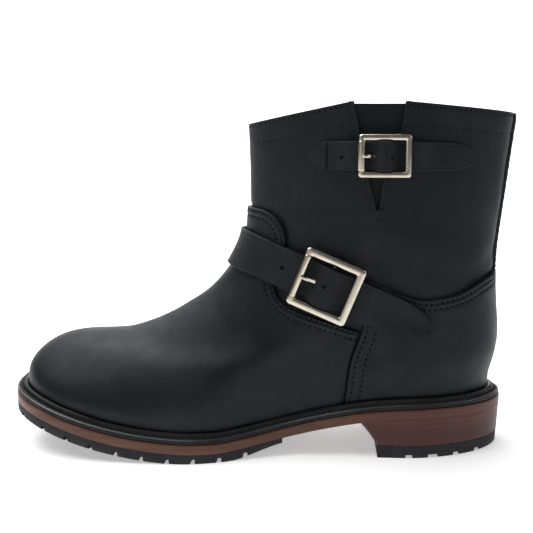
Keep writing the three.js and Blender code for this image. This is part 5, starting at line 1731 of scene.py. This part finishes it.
def make_materials(colours):
    groups = {"leather": leather_group(), "dust": dust_group()}
    black, grey = tuple(colours.leather), tuple(colours.rubbed_leather)
    MADE["groups"] = groups
    sheen = {"Specular_IOR_Level": 0.2, "Specular_Tint": (0.90, 0.97, 1.0, 1)}
    MADE["shaft"] = leather("Shaft leather", groups, black, grey, 880.0, 0.5, 0.35, **sheen)
    MADE["vamp"] = leather("Vamp leather", groups, black, grey, 800.0, 0.42, 0.45, depth=0.00006, **sheen)
    MADE["gusset"] = leather("Gusset leather", groups, tuple(0.7 * c for c in black), black, 1300.0, 0.5, 0.2,
                             **sheen)
    MADE["strap"] = leather("Strap leather", groups, black, grey, 1000.0, 0.46, 0.3, **sheen)
    MADE["lining"] = leather("Lining leather", groups, (0.10, 0.065, 0.04), (0.16, 0.11, 0.07), 1100.0, 0.65, 0.6)
    MADE["insole"] = leather("Insole leather", groups, (0.24, 0.13, 0.065), (0.32, 0.19, 0.10), 1200.0, 0.6, 0.7)
    MADE["welt"] = leather("Welt leather", groups, (0.004, 0.0045, 0.005), (0.011, 0.012, 0.014), 1500.0, 0.5, 0.3,
                           depth=0.00005, dust=0.06, Specular_IOR_Level=0.24)
    # Painted highlight: the welt's ridge tops are lighter in colour; their lower roughness and stronger specular are
    # real polish.
    MADE["welt_edge"] = leather("Welt ridges polished and painted highlight", groups, (0.014, 0.015, 0.017), (0.045, 0.048, 0.053), 1500.0, 0.3, 0.4,
                                depth=0.00005, dust=0.08, Specular_IOR_Level=0.6)
    # The midsole's edge has painted shade under the arch.
    MADE["midsole"] = sole_edge("Midsole edge", tuple(colours.midsole), tuple(0.55 * c for c in colours.midsole),
                                260.0, 0.42, groups, 0.35, tuple(colours.heel))
    MADE["heel"] = sole_edge("Stacked heel", tuple(colours.heel), tuple(0.6 * c for c in colours.heel),
                             190.0, 0.4, groups, 0.42)
    MADE["rubber"] = rubber("Sole rubber", (0.012, 0.011, 0.014), groups)
    MADE["nickel"] = metal("Warm nickel", tuple(colours.nickel))
    # Painted shade: the buckle's middle bar is dark nickel because it lies in the strap's shade.
    MADE["bar"] = metal("Nickel bar in painted shade", (0.06, 0.055, 0.05))
    MADE["thread"] = thread("Black thread", (0.004, 0.004, 0.005))
    MADE["welt_thread"] = thread("Welt thread", (0.030, 0.033, 0.037))
    # Painted shade: near-black blobs stand in for the dark inside the pricked holes.
    MADE["hole"] = hole("Painted hole shade", (0.0018, 0.0019, 0.0022))


def make_stitching(sizes):
    tree = stitch_tree()
    upper_sizes = {
        "Pitch": sizes.stitch_pitch,
        "Stitch length": sizes.stitch_length,
        "Thread": sizes.thread,
        "Hole length": sizes.stitch_hole,
        "Hole width": 0.8 * sizes.stitch_hole,
        "Hole depth": 0.0007,
    }
    lifted = GAP + OVERLAY
    rows = []
    for gap in VAMP_ROWS:
        rows += both_sides(inset_line(VAMP_SEWN, gap, 1), lifted - 0.32)
    sew("vamp_stitches", rows, MADE["thread"], tree, upper_sizes)
    rows = []
    for gap in SEAM_ROWS:
        rows += both_sides(inset_line(SEAM_LINE, gap, -1), lifted - 0.32)
    for gap in TOP_ROWS:
        rows += both_sides(inset_line(TOP_LINE, gap, -1), lifted - 0.32)
    sew("counter_stitches", rows, MADE["thread"], tree, upper_sizes)
    rows = []
    phi = np.linspace(-np.pi + 0.02, np.pi - 0.02, 700)
    facing = []
    for drop in COLLAR_ROWS:
        t = ring_at_height(phi, lambda x: collar_at(x) - drop)
        points, normals = skin(phi, t, 0.0), outward(phi, t)
        rise = shaft_creases(points)
        points = points + normals * rise[:, None]
        notch_front, notch_back = notch_turns(t)
        open_part = (phi > notch_front + 0.05) | (phi < notch_back - 0.05)
        for part in np.split(np.arange(len(phi)), np.nonzero(np.diff(open_part.astype(int)))[0] + 1):
            if open_part[part[0]] and len(part) > 2:
                target = rows if drop == COLLAR_ROWS[0] else facing
                target.append((points[part], normals[part]))
    for table, side in ((NOTCH_FRONT, -1), (NOTCH_BACK, 1)):
        line = side_points(table)
        foot = np.array([[float(along_to_x(NOTCH_TIP[0])) + 0.4, line[0, 1] - 5.0]])
        path = np.concatenate([foot, line + np.array([side * 2.0, 0])])
        z = np.linspace(foot[0, 1], line[-1, 1] - 0.6, 160)
        x = np.interp(z, path[:, 1], path[:, 0])
        t_phi, t = find_on_side(x, z)
        points, normals = skin(-t_phi, t, 0.0), outward(-t_phi, t)
        points = points + normals * shaft_creases(points)[:, None]
        rows.append((points, normals))
    sew("shaft_stitches", rows, MADE["thread"], tree, upper_sizes)
    facing_sizes = {**upper_sizes, "Pitch": 0.0044, "Stitch length": 0.0027, "Thread": 0.0007}
    sew("facing_stitches", facing, MADE["thread"], tree, facing_sizes)
    sew("strap_stitches", anchor_rows(), MADE["thread"], tree, upper_sizes)
    count = 900
    phi = 2 * np.pi * np.arange(count + 1) / count - np.pi
    inside = GAP + OVERLAY + GAP
    start = inside + BEAD_WIDTH + 0.5
    at = start + (edge_width(phi) - 0.9 - start) * 0.55
    points = feather_point(phi, at)
    points[:, 2] = bed(points[:, 0]) - 0.28
    slope = np.gradient(points, axis=0)
    normals = unit(np.cross(slope, np.cross([0, 0, 1.0], slope)))
    normals = normals * np.sign(normals[:, 2:3])
    welt_sizes = {
        "Pitch": sizes.welt_pitch,
        "Stitch length": 0.8 * sizes.welt_pitch,
        "Thread": 0.0011,
        "Hole length": 0.0011,
        "Hole width": 0.0015,
    }
    sew("welt_stitches", [(points, normals)], MADE["welt_thread"], tree, welt_sizes)


def anchor_rows():
    """The stitched triangle and the two cross rows that hold the shaft strap's front end."""
    start = float(along_to_x(SHAFT_START))
    top, foot = 183.2, 167.9
    paths = [
        ((start + 1.9, 175.6), (ANCHOR_END - 1.6, top - 0.9), 0.25),
        ((start + 1.9, 175.6), (ANCHOR_END - 1.6, foot + 0.9), 0.25),
        ((ANCHOR_END - 1.3, foot + 0.8), (ANCHOR_END - 1.3, top - 0.8), 0.25),
        ((ANCHOR_END + 1.7, foot + 0.8), (ANCHOR_END + 1.7, top - 0.8), 1.2),
    ]
    rows = []
    for a, b, lift in paths:
        share = np.linspace(0, 1, 30)[:, None]
        path = np.array(a) * (1 - share) + np.array(b) * share
        phi, t = find_on_side(path[:, 0], path[:, 1])
        rows.append((skin(-phi, t, 0.6 + lift), outward(-phi, t)))
    return rows


def make_stage(sizes):
    """A pale floor that curves up behind, soft lights and the camera."""
    rows = []
    for y in np.linspace(-3.0, 1.6, 24):
        rows.append((y, 0.0))
    for angle in np.linspace(0, math.pi / 2, 20)[1:]:
        rows.append((1.6 + 1.2 * math.sin(angle), 1.2 - 1.2 * math.cos(angle)))
    for z in np.linspace(1.2, 4.0, 14)[1:]:
        rows.append((2.8, z))
    xs = np.linspace(-4, 4, 30)
    verts = [(x, y, z) for y, z in rows for x in xs]
    mesh = bpy.data.meshes.new("floor")
    mesh.from_pydata(verts, [], grid_quads(len(rows), len(xs)))
    floor = bpy.data.objects.new("floor", mesh)
    bpy.context.scene.collection.objects.link(floor)
    soften(floor, 60)
    glow = {"Emission_Color": (1, 1, 1, 1), "Emission_Strength": 0.40}
    material, tree, surface, vector = start_material("Pale floor", Roughness=0.8, **glow)
    cloud = noise(tree, vector, 3.0, 3.0)
    tint = mix_colour(tree, cloud, (0.86, 0.86, 0.86, 1), (0.9, 0.9, 0.9, 1))
    tree.links.new(tint, surface.inputs["Base Color"])
    mesh.materials.append(material)
    lights = (
        ("overhead", (-0.6, 0.15, 1.4), (-0.03, 0.0, 0.1), 1.7, 1.3, 33.0),
        ("front", (-1.2, -1.6, 0.6), (0, 0, 0.1), 1.6, 1.2, 2.6),
        ("side", (1.6, -0.6, 0.9), (0, 0, 0.1), 1.0, 1.0, 4.5),
        ("backdrop", (0.0, 1.0, 2.2), (0, 2.8, 1.0), 2.4, 1.2, 60.0),
    )
    for name, place, aim, wide, deep, power in lights:
        lamp = bpy.data.lights.new(name, "AREA")
        lamp.shape = "RECTANGLE"
        lamp.size, lamp.size_y, lamp.energy = wide, deep, power
        thing = bpy.data.objects.new(name, lamp)
        thing.location = place
        thing.rotation_euler = (Vector(aim) - Vector(place)).to_track_quat("-Z", "Y").to_euler()
        bpy.context.scene.collection.objects.link(thing)
    world = bpy.data.worlds.new("soft room")
    world.use_nodes = True
    shade = world.node_tree.nodes["Background"]
    shade.inputs["Color"].default_value = (1, 1, 1, 1)
    shade.inputs["Strength"].default_value = 0.13
    bpy.context.scene.world = world
    bpy.context.scene.view_settings.view_transform = "Standard"
    lens = bpy.data.cameras.new("camera")
    lens.sensor_width = 36.0
    lens.lens = CAMERA["focal"] / 533 * 36.0
    lens.clip_start, lens.clip_end = 0.01, 50
    lens.shift_x, lens.shift_y = CAMERA["shift"]
    eye = bpy.data.objects.new("camera", lens)
    yaw, pitch, roll = CAMERA["yaw"], CAMERA["pitch"], CAMERA["roll"]
    ahead = Vector((math.sin(yaw) * math.cos(pitch), math.cos(yaw) * math.cos(pitch), math.sin(pitch)))
    right = Vector((math.cos(yaw), -math.sin(yaw), 0))
    up = right.cross(ahead)
    right, up = right * math.cos(roll) + up * math.sin(roll), up * math.cos(roll) - right * math.sin(roll)
    turned = Matrix((right, up, -ahead)).transposed()
    eye.matrix_world = Matrix.Translation(Vector(to_metres(CAMERA["place"]))) @ turned.to_4x4()
    bpy.context.scene.collection.objects.link(eye)
    bpy.context.scene.camera = eye


CAMERA = {"place": (18.9, -507.7, 188.2), "yaw": -0.024, "pitch": -0.158, "roll": 0.002, "focal": 837.2, "shift": (0.0, 0.0)}


# The add-on: its settings, an operator for each group of pieces and the panel.

class BootSizes(bpy.types.PropertyGroup):
    """Sizes that a user would change."""

    stitch_pitch: bpy.props.FloatProperty(
        name="Stitch pitch", description="From one stitch of the upper to the next",
        default=0.0031, min=0.001, max=0.01, unit="LENGTH",
    )
    stitch_length: bpy.props.FloatProperty(
        name="Stitch length", description="Length of a stitch that shows",
        default=0.0021, min=0.0005, max=0.009, unit="LENGTH",
    )
    stitch_hole: bpy.props.FloatProperty(
        name="Stitch hole", description="Length of the pricked hole between two stitches",
        default=0.0014, min=0.0003, max=0.004, unit="LENGTH",
    )
    thread: bpy.props.FloatProperty(
        name="Thread", description="Thickness of the upper's thread",
        default=0.0006, min=0.0002, max=0.002, unit="LENGTH",
    )
    welt_pitch: bpy.props.FloatProperty(
        name="Welt stitch pitch", description="From one stitch of the welt to the next",
        default=0.0028, min=0.001, max=0.01, unit="LENGTH",
    )


class BootColours(bpy.types.PropertyGroup):
    """Colours that a user would change."""

    leather: bpy.props.FloatVectorProperty(
        name="Leather", description="The black leather of the upper", subtype="COLOR", size=3,
        default=(0.0045, 0.0058, 0.0085), min=0, max=1,
    )
    rubbed_leather: bpy.props.FloatVectorProperty(
        name="Rubbed leather", description="The leather where it is rubbed", subtype="COLOR", size=3,
        default=(0.0115, 0.0140, 0.0170), min=0, max=1,
    )
    midsole: bpy.props.FloatVectorProperty(
        name="Midsole", description="The middle sole's stained edge", subtype="COLOR", size=3,
        default=(0.140, 0.058, 0.033), min=0, max=1,
    )
    heel: bpy.props.FloatVectorProperty(
        name="Heel", description="The stacked leather of the heel", subtype="COLOR", size=3,
        default=(0.088, 0.024, 0.019), min=0, max=1,
    )
    nickel: bpy.props.FloatVectorProperty(
        name="Nickel", description="The buckles' plating", subtype="COLOR", size=3,
        default=(0.58, 0.54, 0.46), min=0, max=1,
    )


class BOOT_OT_finishes(bpy.types.Operator):
    """Makes the shader groups and the materials"""

    bl_idname = "boot.finishes"
    bl_label = "Make the finishes"

    def execute(self, context):
        make_materials(context.scene.boot_colours)
        return {"FINISHED"}


class BOOT_OT_upper(bpy.types.Operator):
    """Builds the shaft, the gusset, the vamp, the counter and the back piping"""

    bl_idname = "boot.upper"
    bl_label = "Build the upper"

    def execute(self, context):
        make_shaft([MADE["shaft"], MADE["lining"]])
        make_gusset([MADE["gusset"]])
        make_vamp([MADE["vamp"]])
        make_counter([MADE["vamp"]])
        make_piping([MADE["shaft"]])
        return {"FINISHED"}


class BOOT_OT_straps(bpy.types.Operator):
    """Builds both straps and dresses the tabs that hold the buckles"""

    bl_idname = "boot.straps"
    bl_label = "Build the straps"

    def execute(self, context):
        make_straps([MADE["strap"]])
        for node in ("instep_billet", "shaft_billet"):
            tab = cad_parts[node]
            tab.data.materials.clear()
            tab.data.materials.append(MADE["strap"])
        return {"FINISHED"}


class BOOT_OT_buckles(bpy.types.Operator):
    """Builds both roller buckles"""

    bl_idname = "boot.buckles"
    bl_label = "Build the buckles"

    def execute(self, context):
        for name in BUCKLES:
            # The second finish is the middle bar's painted shade.
            make_buckle(name, [MADE["nickel"], MADE["bar"]])
        return {"FINISHED"}


class BOOT_OT_sole(bpy.types.Operator):
    """Builds the welt, the midsole, the insole and the rubber half sole"""

    bl_idname = "boot.sole"
    bl_label = "Build the sole"

    def execute(self, context):
        make_welt([MADE["welt"], MADE["welt_edge"]])
        make_midsole([MADE["midsole"]])
        make_insole([MADE["insole"]])
        make_half_sole([MADE["rubber"]])
        return {"FINISHED"}


class BOOT_OT_heel(bpy.types.Operator):
    """Builds the stacked heel and its rubber top lift"""

    bl_idname = "boot.heel"
    bl_label = "Build the heel"

    def execute(self, context):
        make_heel([MADE["heel"]], [MADE["rubber"]])
        return {"FINISHED"}


class BOOT_OT_stitching(bpy.types.Operator):
    """Sews the rows of stitches with Geometry Nodes"""

    bl_idname = "boot.stitching"
    bl_label = "Sew the seams"

    def execute(self, context):
        make_stitching(context.scene.boot_sizes)
        return {"FINISHED"}


class BOOT_OT_stage(bpy.types.Operator):
    """Sets the floor, the lights and the camera"""

    bl_idname = "boot.stage"
    bl_label = "Set the stage"

    def execute(self, context):
        make_stage(context.scene.boot_sizes)
        return {"FINISHED"}


STEPS = (
    BOOT_OT_finishes, BOOT_OT_upper, BOOT_OT_straps, BOOT_OT_buckles, BOOT_OT_sole, BOOT_OT_heel,
    BOOT_OT_stitching, BOOT_OT_stage,
)


class BOOT_PT_panel(bpy.types.Panel):
    """Lists the settings and the steps"""

    bl_label = "Engineer boot"
    bl_idname = "BOOT_PT_panel"
    bl_space_type = "VIEW_3D"
    bl_region_type = "UI"
    bl_category = "Boot"

    def draw(self, context):
        layout = self.layout
        for settings in (context.scene.boot_sizes, context.scene.boot_colours):
            for label in settings.__annotations__:
                layout.prop(settings, label)
        for step in STEPS:
            layout.operator(step.bl_idname)


CLASSES = (BootSizes, BootColours, *STEPS, BOOT_PT_panel)


def register():
    for cls in CLASSES:
        bpy.utils.register_class(cls)
    bpy.types.Scene.boot_sizes = bpy.props.PointerProperty(type=BootSizes)
    bpy.types.Scene.boot_colours = bpy.props.PointerProperty(type=BootColours)


def unregister():
    del bpy.types.Scene.boot_sizes
    del bpy.types.Scene.boot_colours
    for cls in reversed(CLASSES):
        bpy.utils.unregister_class(cls)


def main():
    """Runs every step in order."""

    register()
    for step in STEPS:
        group, action = step.bl_idname.split(".")
        getattr(getattr(bpy.ops, group), action)()


if __name__ == "__main__":
    main()
